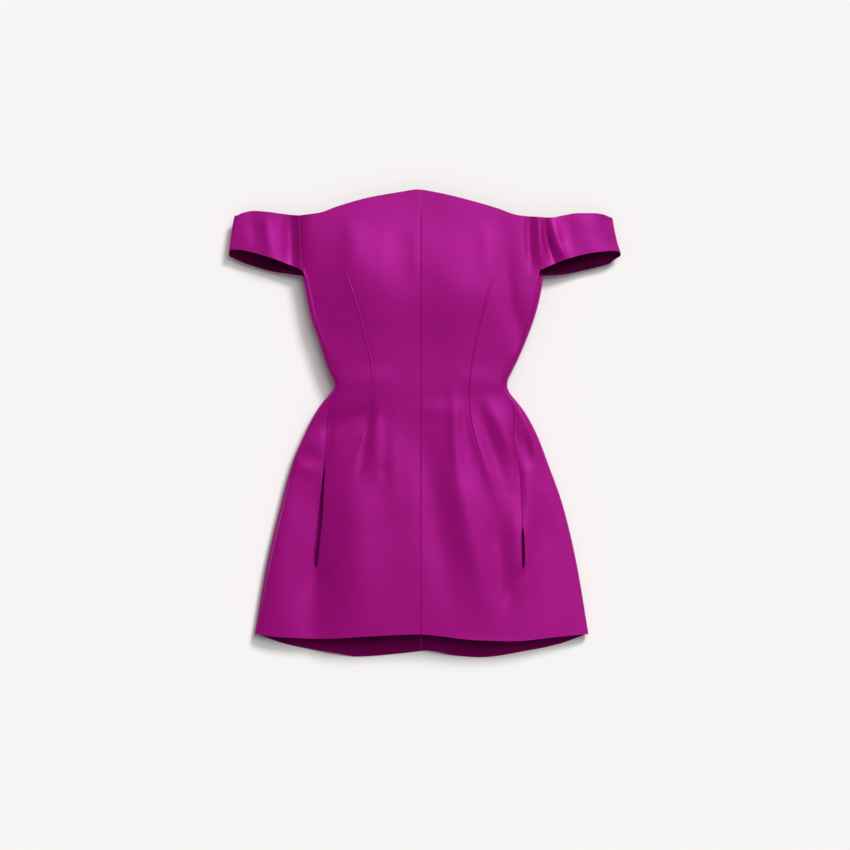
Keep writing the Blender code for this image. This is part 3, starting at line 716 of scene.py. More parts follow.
def weave_group():
    """Slubs, ribs and a slow unevenness of the cloth."""
    tree = bpy.data.node_groups.new("satin_weave", "ShaderNodeTree")
    for name, value in WEAVE_INPUTS.items():
        kind = "NodeSocketFloat" if isinstance(value, float) else "NodeSocketColor"
        tree.interface.new_socket(name=name, in_out="INPUT", socket_type=kind).default_value = value
    for name, kind in WEAVE_OUTPUTS.items():
        tree.interface.new_socket(name=name, in_out="OUTPUT", socket_type=kind)
    links = tree.links.new
    given = add_node(tree, "NodeGroupInput", (-1200, 0))
    result = add_node(tree, "NodeGroupOutput", (900, 0))
    cloth_uv = add_node(tree, "ShaderNodeUVMap", (-1200, -300), uv_map="cloth")
    slubs = threads(tree, cloth_uv, (1 / SLUB_LENGTH, 1 / SLUB_PITCH, 1), -200, Detail=3.0, Roughness=0.65)
    ribs = threads(tree, cloth_uv, (1 / RIB_LENGTH, 1 / RIB_PITCH, 1), -500, Detail=1.5)
    clouds = threads(tree, cloth_uv, CLOUD_SCALE, -800, Detail=2.0)

    slub_mask = add_node(tree, "ShaderNodeMapRange", (-600, -200), SLUB_RANGE)
    links(slubs, slub_mask.inputs["Value"])
    slub_amount = given.outputs["Slub Amount"]
    slub_share = maths(tree, "MULTIPLY", (-400, -150), slub_mask.outputs["Result"], slub_amount)
    cloud_share = maths(tree, "MULTIPLY_ADD", (-400, -800), clouds, CLOUD_SHARE, CLOUD_START)
    light_share = maths(tree, "ADD", (-200, -300), slub_share, cloud_share, use_clamp=True)
    colour = add_node(tree, "ShaderNodeMix", (100, 100), data_type="RGBA")
    links(light_share, colour.inputs["Factor"])
    links(given.outputs["Colour"], colour.inputs[6])
    links(given.outputs["Thread Colour"], colour.inputs[7])
    links(colour.outputs[2], result.inputs["Colour"])

    rough = maths(tree, "MULTIPLY_ADD", (100, -200), ribs, RIB_ROUGHNESS, given.outputs["Gloss Roughness"])
    links(rough, result.inputs["Roughness"])
    height = maths(tree, "MULTIPLY_ADD", (100, -450), slubs, SLUB_RISE, ribs)
    bump = add_node(tree, "ShaderNodeBump", (400, -450), {"Distance": THREAD_RISE})
    links(height, bump.inputs["Height"])
    links(given.outputs["Bump"], bump.inputs["Strength"])
    links(bump.outputs["Normal"], result.inputs["Normal"])
    return tree


WEAVE = weave_group()
print("weave nodes:", len(WEAVE.nodes))

# %% Cloth materials
# Painted shade: the inner side's colour is darker than the satin's, for the dim inside of the hem.
SATIN_PAINTED_SHADE = (0.145, 0.0002, 0.064, 1.0)
# Painted shade: the sleeves' inner side is far darker still, for the dark mouths of the cuffs.
SLEEVE_PAINTED_SHADE = (0.034, 0.0001, 0.014, 1.0)
POCKET_CLOTH = (0.24, 0.004, 0.145, 1.0)
ZIP_TAPE = (0.29, 0.004, 0.17, 1.0)
SHEEN_TINT = (1.0, 0.45, 0.85, 1.0)
SHEEN_ROUGHNESS = 0.45
GLOSS_TINT = (1.0, 0.09, 0.90, 1.0)
GLOSS_INDEX = 1.6


def cloth_material(name, colour, thread, slub_amount, bump, roughness, sheen, gloss):
    """A woven cloth: the weave group feeds a shader whose constant values are its own."""
    paint = bpy.data.materials.new(name)
    paint.use_nodes = True
    tree = paint.node_tree
    shader = tree.nodes["Principled BSDF"]
    values = {"Colour": colour, "Thread Colour": thread, "Slub Amount": slub_amount, "Bump": bump,
              "Gloss Roughness": roughness}
    weave = add_node(tree, "ShaderNodeGroup", (-400, 0), node_tree=WEAVE)
    set_inputs(weave, values)
    for output, socket in (("Colour", "Base Color"), ("Roughness", "Roughness"), ("Normal", "Normal")):
        tree.links.new(weave.outputs[output], shader.inputs[socket])
    set_inputs(shader, {"IOR": GLOSS_INDEX, "Specular IOR Level": gloss, "Specular Tint": GLOSS_TINT,
                        "Sheen Weight": sheen, "Sheen Roughness": SHEEN_ROUGHNESS, "Sheen Tint": SHEEN_TINT})
    return paint


SATIN_CLOTH = cloth_material("satin", SATIN, SATIN_LIGHT, 0.62, 0.46, 0.37, 0.0, 1.0)
# The satin's reverse takes a darker colour as painted shade; its duller gloss is the cloth's own.
SATIN_REVERSE_PAINTED_SHADE = cloth_material("satin_reverse_painted_shade", SATIN_PAINTED_SHADE, SATIN, 0.10, 0.30, 0.60, 0.0, 0.2)
# The sleeves' reverse is painted almost black, as shade inside the cuffs.
SLEEVE_REVERSE_PAINTED_SHADE = cloth_material("sleeve_reverse_painted_shade", SLEEVE_PAINTED_SHADE, SATIN_PAINTED_SHADE, 0.10, 0.30, 0.70, 0.0, 0.1)
POCKET_LINING = cloth_material("pocket_cloth", POCKET_CLOTH, SATIN, 0.2, 0.3, 0.65, 0.02, 0.25)
TAPE_CLOTH = cloth_material("zip_tape", ZIP_TAPE, SATIN, 0.1, 0.8, 0.7, 0.02, 0.25)
print("cloth materials:", SATIN_CLOTH.name, SATIN_REVERSE_PAINTED_SHADE.name, SLEEVE_REVERSE_PAINTED_SHADE.name, POCKET_LINING.name,
      TAPE_CLOTH.name)

# %% [markdown]
# ## Fronts
#
# Each front runs from the side seam to the centre seam. A double-ended dart takes the waist in: it is a
# fine groove with the cloth pressed towards the middle, so its outer side stands slightly higher. The
# side seams lie on top, because the wider backs wrap round the sides, and each one is left open at the hip
# as the mouth of a pocket. The creases on top cross the seams, so one table serves fronts and backs.

# %% Creases and domes of the top side
TOP_CREASES = table_of(CREASE_COLUMNS, (
    ("left bust streak", 0.0012, 0.018, ((-0.124, 0.312), (-0.122, 0.25), (-0.128, 0.16))),
    ("streak left of the centre", 0.0006, 0.014, ((-0.062, 0.305), (-0.064, 0.235), (-0.07, 0.14))),
    ("left bodice valley", -0.0014, 0.022,
     ((-0.206, 0.28), (-0.2, 0.2), (-0.186, 0.13), (-0.162, 0.035))),
    ("ridge by the centre seam", 0.0007, 0.009, ((-0.012, 0.3), (-0.012, 0.17))),
    ("right bust streak", 0.0011, 0.014, ((0.11, 0.3), (0.116, 0.24), (0.118, 0.175))),
    ("right bodice valley", -0.0034, 0.017,
     ((0.146, 0.318), (0.148, 0.23), (0.154, 0.16), (0.172, 0.095), (0.178, 0.03))),
    ("left armhole trough", -0.0112, 0.017, ((-0.2295, 0.36), (-0.2285, 0.255), (-0.2245, 0.16))),
    ("right armhole valley", -0.0036, 0.0075, ((0.19, 0.35), (0.19, 0.26), (0.194, 0.19))),
    ("right armhole rise", 0.0034, 0.0085, ((0.21, 0.35), (0.2105, 0.26), (0.212, 0.19))),
    ("right sleeve groove", -0.0054, 0.0062,
     ((0.212, 0.33), (0.216, 0.288), (0.2215, 0.255), (0.233, 0.225), (0.248, 0.19))),
    ("right sleeve ridge", 0.005, 0.0095,
     ((0.224, 0.335), (0.231, 0.288), (0.24, 0.256), (0.253, 0.23), (0.27, 0.195))),
    ("left waist swell", 0.002, 0.024, ((-0.2, -0.002), (-0.14, 0.004), (-0.08, 0.012), (-0.02, 0.016))),
    ("right waist swell", 0.0013, 0.021, ((0.03, 0.018), (0.085, 0.013), (0.135, 0.008), (0.19, 0.0))),
    ("left waist valley", -0.0042, 0.021,
     ((-0.21, -0.076), (-0.15, -0.064), (-0.1, -0.05), (-0.04, -0.036))),
    ("left dart valley", -0.0022, 0.0085, ((-0.083, -0.005), (-0.096, -0.085), (-0.114, -0.185))),
    ("left dart ridge", 0.0023, 0.013, ((-0.08, 0.0), (-0.078, -0.09), (-0.079, -0.19))),
    ("faint ridge near the centre", 0.0012, 0.012, ((-0.048, -0.02), (-0.049, -0.12), (-0.048, -0.24))),
    ("left skirt swell", 0.005, 0.038, ((-0.112, -0.1), (-0.112, -0.26), (-0.106, -0.52))),
    ("left side seam dip", -0.002, 0.0095, ((-0.153, 0.0), (-0.164, -0.08), (-0.171, -0.17))),
    ("left hip dip", -0.0014, 0.014, ((-0.238, -0.118), (-0.2, -0.12), (-0.158, -0.13))),
    ("left hip swell", 0.0012, 0.013, ((-0.226, -0.142), (-0.2, -0.143), (-0.168, -0.152))),
    ("left side swell", 0.0054, 0.03, ((-0.216, -0.08), (-0.24, -0.2), (-0.26, -0.34), (-0.284, -0.54))),
    ("left side seam valley", -0.0032, 0.029,
     ((-0.16, -0.01), (-0.172, -0.15), (-0.183, -0.27), (-0.186, -0.37), (-0.184, -0.5))),
    ("left pocket valley", -0.0022, 0.013,
     ((-0.172, -0.14), (-0.181, -0.23), (-0.187, -0.315), (-0.187, -0.4))),
    ("left hem dip", -0.0046, 0.03, ((-0.192, -0.26), (-0.191, -0.38), (-0.188, -0.54))),
    ("left pocket fold", -0.0009, 0.012, ((-0.19, -0.3), (-0.166, -0.345), (-0.14, -0.385))),
    ("right skirt hollow", -0.0038, 0.026,
     ((0.008, 0.01), (0.012, -0.13), (0.038, -0.3), (0.066, -0.48))),
    ("upper right skirt ridge", 0.0034, 0.012, ((0.06, 0.02), (0.06, -0.08), (0.068, -0.2))),
    ("long right skirt ridge", 0.005, 0.024,
     ((0.05, -0.06), (0.06, -0.145), (0.0756, -0.2), (0.0896, -0.2695), (0.109, -0.357), (0.15, -0.48))),
    ("right dart ridge", 0.0026, 0.011,
     ((0.084, -0.015), (0.098, -0.08), (0.118, -0.145), (0.144, -0.225))),
    ("right dart valley", -0.0021, 0.013,
     ((0.092, 0.01), (0.112, -0.07), (0.136, -0.138), (0.166, -0.22))),
    ("right hip bulge", 0.0028, 0.015, ((0.098, 0.004), (0.13, -0.05), (0.158, -0.105), (0.176, -0.16))),
    ("right side seam dip", -0.0024, 0.008,
     ((0.156, -0.005), (0.164, -0.08), (0.172, -0.15), (0.1775, -0.3))),
    ("right hip ridge", 0.002, 0.011, ((0.166, 0.0), (0.184, -0.058), (0.1985, -0.11), (0.205, -0.17))),
    ("right hip dimple", -0.0022, 0.012, ((0.176, -0.07), (0.186, -0.11), (0.19, -0.15))),
    ("right side seam ridge", 0.0018, 0.014, ((0.187, -0.095), (0.189, -0.2), (0.19, -0.31))),
    ("right pocket valley", -0.0026, 0.017, ((0.128, -0.19), (0.138, -0.3), (0.146, -0.44))),
    ("right pocket swell", 0.0036, 0.019, ((0.164, -0.18), (0.172, -0.28), (0.172, -0.39))),
    ("right pocket fold", -0.0022, 0.011, ((0.184, -0.3), (0.164, -0.345), (0.142, -0.392))),
    ("right side dip", -0.0024, 0.026, ((0.214, -0.18), (0.226, -0.29), (0.238, -0.44))),
))
DOMES = table_of("name rise width length out level", (
    ("left bust", 0.0076, 0.06, 0.085, -0.096, 0.192),
    ("right bust", 0.006, 0.074, 0.09, 0.066, 0.168),
    ("dimple by the left dart", -0.0009, 0.008, 0.013, -0.064, -0.146),
    ("swell under the right waist", 0.0012, 0.03, 0.016, 0.034, -0.04),
))


def dome_height(dome, out, level):
    """A soft round swelling of the cloth."""
    across = (out - dome.out) / dome.width
    along = (level - dome.level) / dome.length
    return dome.rise * np.exp(-across ** 2 - along ** 2)


def top_form(out, level):
    """How far the creases and domes move the top side at a place."""
    return creases_height(TOP_CREASES, out, level) + sum(dome_height(dome, out, level) for dome in DOMES)


print("creases:", len(TOP_CREASES), "domes:", len(DOMES))

# %% Side seams and the top's lift
ARMHOLE_ALLOWANCE = 0.0020
CREASES_START = 0.6
BODY_RIPPLE = {"size": 0.060, "rise": 0.0006, "seed": 1}
RIPPLE_START = 0.03
SIDE_SEAM_PRESS = table_of("level share", (
    (-0.433, 0.08),
    (-0.33, 0.08),
    (-0.31, 1.0),
    (-0.07, 1.0),
    (-0.02, 0.3),
    (0.303, 0.3),
))
SEAM_PRESS = column(SIDE_SEAM_PRESS, "level", "share")


def roll_at_side(distance, level):
    """The roll along a side seam and, above it, the armhole, where the edge only turns down."""
    above = above_underarm(level)
    share = SEAM_PRESS(level)
    return roll(distance, share * (1 - above), ALLOWANCE_DEPTH * share + ARMHOLE_ALLOWANCE * above)


def top_lift(base, inset):
    """How far the creases and a slow unevenness move the top side. They die away round the side fold."""
    out, level = places_of(base)
    shown = np.maximum(eased(inset / FOLD(level) - CREASES_START), above_underarm(level))
    return top_form(out, level) * shown + ripple(base, **BODY_RIPPLE) * eased(inset / RIPPLE_START)


print("share of the side seam's roll at the hem:", float(SEAM_PRESS(HEM_LEVEL)))

# %% Rows and columns of the body
ROWS = 280
LEAST_ROWS = 4
# Pairs of a distance from a seam and the steps up to the next pair. The 0 of the first stands for the long
# run to the dart, and that of the second for the end of the row.
LEAVING_A_SEAM = ((0.0, 3), (0.0003, 5), (0.0026, 3), (0.0060, 0))
REACHING_A_SEAM = ((0.0060, 3), (0.0026, 5), (0.0003, 3), (0.0, 0))
DART_REACH = 0.006
DART_CORE = 0.0015
DART_STEPS = 6
SEAM_TO_DART_STEPS = 20
DART_TO_CENTRE_STEPS = 26


def row_levels():
    """Levels of the rows, with an exact row at each end of the pockets' mouths."""
    marks = (HEM_LEVEL, MOUTH_FOOT_LEVEL, MOUTH_TOP_LEVEL["right"], MOUTH_TOP_LEVEL["left"], UNDERARM_LEVEL,
             ARMHOLE_FOOT_LEVEL, SHOULDER_LEVEL)
    whole = marks[-1] - marks[0]
    levels = []
    for start, end in zip(marks, marks[1:]):
        steps = max(round(ROWS * (end - start) / whole), LEAST_ROWS)
        levels += list(start + (end - start) * np.arange(steps) / steps)
    return np.array(levels + [marks[-1]])


LEVELS = row_levels()
print("rows:", len(LEVELS))


def across_dart(dart, direction, last_steps):
    """Places on both sides of a dart, in or against the outward direction, with the steps between them."""
    offs = (DART_REACH, DART_CORE, -DART_CORE, -DART_REACH)
    steps = (DART_STEPS, DART_STEPS, DART_STEPS, last_steps)
    return [(dart + direction * off, count) for off, count in zip(offs, steps)]


def front_turns(side):
    """The columns of a front: finest at its seams and dart."""
    seam = SEAM[side](LEVELS) - np.maximum(MOUTH[side](LEVELS), SEAM_GAP / 2)
    centre = SEAM_GAP / 2 + 0 * LEVELS
    outs = [(seam - step, count or SEAM_TO_DART_STEPS) for step, count in LEAVING_A_SEAM]
    outs += across_dart(DART[side](LEVELS), 1, DART_TO_CENTRE_STEPS)
    outs += [(centre + step, count) for step, count in REACHING_A_SEAM]
    return columns_between([(front_turn(side, LEVELS, out), steps) for out, steps in outs])


def laid_body(side, turns, neckline):
    """A body piece before its creases: its points, their inset from the side, and the way across it."""
    levels = edged(side, turns, LEVELS[:, None], neckline)
    base = body_points(side, turns, levels)
    return base, body_inset(side, turns, levels), distances(base)

# %% Fronts
DART_DEPTH = 0.0007
DART_HALF_WIDTH = 0.0009
DART_STEP = 0.0006
DART_STEP_WIDTH = 0.0022
DART_FADE_POWER = 6
CENTRE_ROLL = {"left": 2.2, "right": 0.4}
FRONT_CUT = (0.240, 0.815)


def dart_height(side, out, level):
    """The sewn dart: a fine groove, and cloth that stands a little higher on its outer side."""
    middle = (DART_FOOT_LEVEL + DART_TOP_LEVEL) / 2
    reach = (DART_TOP_LEVEL - DART_FOOT_LEVEL) / 2
    fade = np.clip(1 - (np.abs(level - middle) / reach) ** DART_FADE_POWER, 0, 1)
    off = np.abs(out) - DART[side](level)
    groove = -DART_DEPTH * np.exp(-(off / DART_HALF_WIDTH) ** 2)
    step = DART_STEP * np.exp(-((off - DART_STEP_WIDTH) / DART_STEP_WIDTH) ** 2)
    return fade * (groove + step)


def make_front(side):
    base, inset, across = laid_body(side, front_turns(side), NECK_FRONT)
    out, level = places_of(base)
    lift = top_lift(base, inset) + dart_height(side, out, level)
    lift += roll_at_side(across, level) + roll(across[:, -1:] - across, CENTRE_ROLL[side])
    points = base + outward_normals(base, -SIDES[side]) * lift[..., None]
    piece = grid_piece(f"satin_front_{side}", points, np.stack([out, level], axis=-1))
    face_outwards(piece, True)
    finish_cloth(piece, f"front_{side}", FRONT_CUT, SATIN_CLOTH, SATIN_REVERSE_PAINTED_SHADE)


for side in SIDES:
    make_front(side)

# %% [markdown]
# ## Backs
#
# Each back lies flat on the surface, turns round the side fold and comes over onto the front, where the
# side seam joins it. Its hem is the longer one, so its inside shows below the front. The hidden backs are
# finished plainly: a centre seam and one waist dart each, as the fit needs.

# %% Backs
BACK_CREASES = table_of(CREASE_COLUMNS, (
    ("left back waist", 0.0012, 0.012, ((-0.135, 0.03), (-0.1, 0.004), (-0.06, 0.01))),
    ("right back waist", 0.0012, 0.012, ((0.06, 0.006), (0.1, 0.0), (0.135, 0.026))),
    ("left back hem fold", 0.0016, 0.006, ((-0.03, -0.444), (-0.012, -0.452), (-0.006, -0.464))),
    ("left back hem swell", 0.005, 0.03, ((-0.17, -0.33), (-0.155, -0.55))),
    ("middle back hem swell", 0.0065, 0.022, ((0.022, -0.33), (0.03, -0.55))),
))
SURFACE_CLEARANCE = 0.0001
BACK_ALLOWANCE = 0.0010
UNDER_TURN = 0.04
CENTRE_TO_DART_STEPS = 16
DART_TO_FOLD_STEPS = 16
FOLD_COLUMNS = table_of("turn before_last steps", ((0.97, 0.05, 22), (2.0, 0.02, 30)))
REACHING_THE_SIDE_SEAM = ((0.0060, 3), (0.0026, 4), (0.0003, 4))
BACK_CUT = (0.440, 0.790)


def back_turns(side):
    """The columns of a back: finest at the centre seam, the dart, the side fold and the side seam."""
    reach = HALF_WIDTH[side](LEVELS) - FOLD(LEVELS)
    above = above_underarm(LEVELS)
    seam = SEAM[side](LEVELS) + np.maximum(MOUTH[side](LEVELS), SEAM_GAP / 2)
    armhole = 1 + UNDERARM_CURL * (1 - above) ** 2 - above * SEAM_GAP / 2 / reach
    last = np.where(above == 0, front_turn(side, LEVELS, seam), armhole)
    outs = [(SEAM_GAP / 2 + step, count or CENTRE_TO_DART_STEPS) for step, count in LEAVING_A_SEAM]
    outs += across_dart(DART[side](LEVELS), -1, DART_TO_FOLD_STEPS)
    marks = [(out / reach, steps) for out, steps in outs]
    marks += [(np.minimum(row.turn, last - row.before_last), row.steps) for row in FOLD_COLUMNS]
    for step, steps in REACHING_THE_SIDE_SEAM:
        on_top = front_turn(side, LEVELS, seam + step)
        marks.append((np.where(above == 0, on_top, armhole - step / reach), steps))
    marks.append((last, 0))
    return columns_between(marks)


def make_back(side):
    turns = back_turns(side)
    base, inset, across = laid_body(side, turns, NECK_BACK)
    out, level = places_of(base)
    under = eased((1.0 - turns) / UNDER_TURN)
    lift = (dart_height(side, out, level) - creases_height(BACK_CREASES, out, level)) * under
    lift += np.where(turns > FOLD_MIDDLE, top_lift(base, inset), 0.0)
    lift += roll(across, 1.0, BACK_ALLOWANCE) * under + roll_at_side(across[:, -1:] - across, level)
    points = base + outward_normals(base, -SIDES[side]) * lift[..., None]
    points[..., 2] = np.maximum(points[..., 2], SURFACE_CLEARANCE)
    uvs = np.stack([across * SIDES[side] + CLOTH_PLACE["back"], level], axis=-1)
    piece = grid_piece(f"satin_back_{side}", points, uvs)
    face_outwards(piece, False)
    finish_cloth(piece, f"back_{side}", BACK_CUT, SATIN_CLOTH, SATIN_REVERSE_PAINTED_SHADE)


for side in SIDES:
    make_back(side)

# %% [markdown]
# ## Sleeve bands
#
# An off-shoulder sleeve is a short band from the front armhole, round the arm, to the back armhole. Laid
# flat it folds along its outer side, and its cuff stays open as a narrow mouth, painted dark inside as
# shade. One grid runs from the front armhole (turn 0) round the outer fold (1 to 2) to the back armhole
# (3), from cuff to top edge.

# %% Tables of the sleeves
SLEEVE_FOLDS = table_of(BY_SIDE, (
    (0.222, 0.335, 0.348),
    (0.233, 0.338, 0.351),
    (0.255, 0.336, 0.345),
    (0.28, 0.3325, 0.3395),
    (0.303, 0.328, 0.336),
))
SLEEVE_OUTER = both_sides(SLEEVE_FOLDS)
SLEEVE_EDGE_COLUMNS = "share top front_cuff back_cuff"
SLEEVE_EDGES = {
    "left": table_of(SLEEVE_EDGE_COLUMNS, (
        (0.0, 0.303, 0.205, 0.1965),
        (0.12, 0.304, 0.2126, 0.1985),
        (0.33, 0.3065, 0.223, 0.202),
        (0.54, 0.3095, 0.232, 0.2075),
        (0.74, 0.311, 0.239, 0.215),
        (0.9, 0.308, 0.2425, 0.222),
        (1.0, 0.303, 0.243, 0.229),
    )),
    "right": table_of(SLEEVE_EDGE_COLUMNS, (
        (0.0, 0.3, 0.205, 0.1965),
        (0.18, 0.299, 0.2165, 0.1975),
        (0.35, 0.303, 0.2255, 0.2),
        (0.56, 0.307, 0.234, 0.206),
        (0.78, 0.307, 0.239, 0.213),
        (0.92, 0.3045, 0.2405, 0.219),
        (1.0, 0.3, 0.24, 0.229),
    )),
}
SLEEVE_MIDDLE_LEVEL = 0.265
SLEEVE_SIDE_HEIGHT = 0.0175
SLEEVE_FOLD = 0.0050
SLEEVE_BACK_DROP = 0.0030
SLEEVE_BACK_TOP_DROP = 0.006
SLEEVE_CREASES = table_of(CREASE_COLUMNS, (
    ("left sleeve valley", -0.001, 0.011, ((-0.264, 0.32), (-0.254, 0.265), (-0.24, 0.205))),
    ("left sleeve ridge", 0.0012, 0.01, ((-0.272, 0.315), (-0.268, 0.265), (-0.262, 0.215))),
    ("left sleeve hollow", -0.0012, 0.012, ((-0.298, 0.315), (-0.29, 0.235))),
    ("right sleeve trough", -0.0009, 0.01, ((0.256, 0.31), (0.262, 0.24))),
    ("right sleeve swell", 0.0012, 0.015, ((0.285, 0.32), (0.295, 0.225))),
))
sleeve_tips = [round(float(outer(SLEEVE_MIDDLE_LEVEL)), 3) for outer in SLEEVE_OUTER.values()]
print("the sleeves reach", sleeve_tips, "m out")

# %% Sleeves
SLEEVE_ROWS = 64
SLEEVE_CUT = (0.300, 0.110)
SLEEVE_GAP = 0.0005
SLEEVE_COLUMNS = ((SLEEVE_GAP, 9), (0.040, 40), (1.0, 18), (2.0, 36), (2.984, 5), (3 - SLEEVE_GAP, 0))
SLEEVE_RIPPLE = {"size": 0.035, "rise": 0.0005, "seed": 2}
SLEEVE_TUCK = 0.0018
SLEEVE_TUCK_DEPTH = 0.0010
SLEEVE_TILT = 0.045
SLEEVE_TILT_START = 2
SLEEVE_LIFT_END = 4
SLEEVE_RIPPLE_ENDS = 8


def sleeve_grid(side):
    """Points of a sleeve's outer face, and its places in the cloth's own coordinates."""
    turns = columns_between([(np.array([turn]), steps) for turn, steps in SLEEVE_COLUMNS])[0]
    turn, share_up = np.meshgrid(turns, np.linspace(0, 1, SLEEVE_ROWS + 1))
    outwards = np.where(turn < 1, turn, np.where(turn < 2, 1.0, 3 - turn))
    round_fold = eased(turn - 1)
    edges = SLEEVE_EDGES[side]
    top = column(edges, "share", "top")(outwards) - SLEEVE_BACK_TOP_DROP * round_fold
    front_cuff = column(edges, "share", "front_cuff")(outwards)
    back_cuff = column(edges, "share", "back_cuff")(outwards)
    cuff = front_cuff + (back_cuff - front_cuff) * round_fold
    level = cuff + (top - cuff) * share_up
    half, fold = HALF_WIDTH[side](level), FOLD(level)
    tip = SLEEVE_OUTER[side](level) - SLEEVE_FOLD
    armhole = SEAM[side](np.maximum(level, ARMHOLE_FOOT_LEVEL))

    front_start = armhole - SLEEVE_TUCK
    front_out = front_start + (tip - front_start) * turn
    at_body = front_height(side, level, half - armhole)
    front_z = at_body + (SLEEVE_SIDE_HEIGHT + SLEEVE_FOLD - at_body) * turn
    front_z = front_z - SLEEVE_TUCK_DEPTH * (1 - eased((front_out - front_start) / (2 * SLEEVE_TUCK)))
    tilted = eased(SLEEVE_TILT_START * turn) * eased(SLEEVE_LIFT_END * (1 - turn))
    front_z = front_z - SLEEVE_TILT * (level - SLEEVE_MIDDLE_LEVEL) * tilted

    angle = np.pi * (turn - 1)
    fold_out = tip + SLEEVE_FOLD * np.sin(angle)
    fold_z = SLEEVE_SIDE_HEIGHT + SLEEVE_FOLD * np.cos(angle)

    above = above_underarm(level)
    edge_inset = fold * (1 - np.sin(np.pi * UNDERARM_CURL * (1 - above) ** 2))
    back_start = half - edge_inset - UNDERARM_LAP * (1 - above)
    share = 3 - turn
    back_out = back_start + (tip - back_start) * share
    at_back = back_height(level, edge_inset)
    back_z = at_back + (SLEEVE_SIDE_HEIGHT - SLEEVE_FOLD - at_back) * share
    back_z = back_z - SLEEVE_BACK_DROP * np.sin(np.pi * np.clip(share, 0, 1))

    out = np.where(turn < 1, front_out, np.where(turn <= 2, fold_out, back_out))
    height = np.where(turn < 1, front_z, np.where(turn <= 2, fold_z, back_z))
    base = np.stack([CENTRE_FRONT_X + SIDES[side] * out, WAIST_Y + level, height], axis=-1)
    signed_out = SIDES[side] * out
    creases = top_form(signed_out, level) + creases_height(SLEEVE_CREASES, signed_out, level)
    lift = creases * eased(SLEEVE_LIFT_END * (1 - turn))
    lift += roll((3 - turn) * (tip - front_start))
    ends = eased(turn * SLEEVE_RIPPLE_ENDS) * eased((3 - turn) * SLEEVE_RIPPLE_ENDS)
    lift += ripple(base, **SLEEVE_RIPPLE) * ends
    points = base + outward_normals(base, SIDES[side]) * lift[..., None]
    return points, np.stack([distances(base) + CLOTH_PLACE["sleeve"], level], axis=-1)


def make_sleeve(side):
    points, uvs = sleeve_grid(side)
    piece = grid_piece(f"satin_sleeve_{side}", points, uvs)
    face_outwards(piece, True, above=SLEEVE_SIDE_HEIGHT + SLEEVE_FOLD)
    finish_cloth(piece, f"sleeve_{side}", SLEEVE_CUT, SATIN_CLOTH, SLEEVE_REVERSE_PAINTED_SHADE)


for side in SIDES:
    make_sleeve(side)

# %% [markdown]
# ## Pocket bags
#
# Behind each mouth hangs a flat bag of thinner cloth. It is one loop of cloth that starts at one lip of
# the mouth, runs round under the front and ends at the other lip, closed above and below the mouth.

# %% Bags
BAG_TOWARDS_SIDE = 0.012
BAG_TOWARDS_CENTRE = 0.125
BAG_TOP_LEVEL = -0.103
BAG_FOOT_LEVEL = -0.375
BAG_CLEARANCE = 0.0045
MOUTH_CLEARANCE = 0.0022
MOUTH_REACH = 0.006
LEAST_MOUTH = 0.0005
BAG_DEPTH = 0.0065
BAG_EDGE_DEPTH = 0.0008
BAG_END_TAPER = 0.03
BAG_SIDE_TAPER = 0.012
BAG_END_RUN = 0.012
BAG_ROWS = 60
BAG_COLUMNS = {"outer": 10, "under": 40, "inner": 32}
BAG_CUT = (0.290, 0.280)
LEAST_FACE = 1e-7
THIN_CLOTH = 0.0004


def bag_grid(side):
    """Points of a pocket bag's outer face."""
    level = np.linspace(BAG_FOOT_LEVEL, BAG_TOP_LEVEL, BAG_ROWS + 1)[:, None]
    line, slit = SEAM[side](level), np.maximum(MOUTH[side](level), LEAST_MOUTH)
    outer_end, inner_end = line + BAG_TOWARDS_SIDE, line - BAG_TOWARDS_CENTRE
    shares = {part: np.linspace(0, 1, count)[None, :] for part, count in BAG_COLUMNS.items()}
    upper_outer = line + slit + (outer_end - line - slit) * shares["outer"]
    lower = outer_end + (inner_end - outer_end) * shares["under"][:, 1:-1]
    upper_inner = inner_end + (line - slit - inner_end) * shares["inner"]
    out = np.concatenate([upper_outer, lower, upper_inner], axis=1)
    below = np.concatenate([0 * upper_outer, 1 + 0 * lower, 0 * upper_inner], axis=1)
    ends = eased(np.minimum(level - BAG_FOOT_LEVEL, BAG_TOP_LEVEL - level) / BAG_END_TAPER)
    sides = eased(np.minimum(outer_end - out, out - inner_end) / BAG_SIDE_TAPER)
    depth = BAG_EDGE_DEPTH + BAG_DEPTH * ends * sides
    into_mouth = np.minimum(level - MOUTH_FOOT_LEVEL, MOUTH_TOP_LEVEL[side] - level)
    near = np.exp(-((out - line) / MOUTH_REACH) ** 2) * eased(into_mouth / BAG_END_RUN + 1)
    ceiling = front_height(side, level, HALF_WIDTH[side](level) - out) - BAG_CLEARANCE
    ceiling = ceiling + np.minimum(top_form(SIDES[side] * out, level + 0 * out), 0)
    ceiling = ceiling + near * (BAG_CLEARANCE - MOUTH_CLEARANCE) * (1 - below)
    height = ceiling - depth * below
    return np.stack([CENTRE_FRONT_X + SIDES[side] * out, WAIST_Y + level + 0 * out, height], axis=-1)


def make_bag(side):
    points = bag_grid(side)
    uvs = np.stack([distances(points) + CLOTH_PLACE["pocket"], points[..., 1]], axis=-1)
    piece = grid_piece(f"pocket_cloth_{side}", points, uvs)
    faces = [face for face in piece.data.polygons if face.area > LEAST_FACE]
    if min(faces, key=lambda face: face.center.z).normal.z > 0:
        piece.data.flip_normals()
    finish_cloth(piece, f"pocket_bag_{side}", BAG_CUT, POCKET_LINING,
                 POCKET_LINING, THIN_CLOTH)


for side in SIDES:
    make_bag(side)

# %% [markdown]
# ## Bar tacks
#
# A pocket's mouth is held at both ends by a bar tack, a few millimetres of close stitching across the
# seam. Each one is a small ball pressed flat and long, which sits on the cloth.

# %% Bar tacks
TACK_SIZE = (0.0052, 0.0013, 0.0007)
TACK_RISE = 0.0001


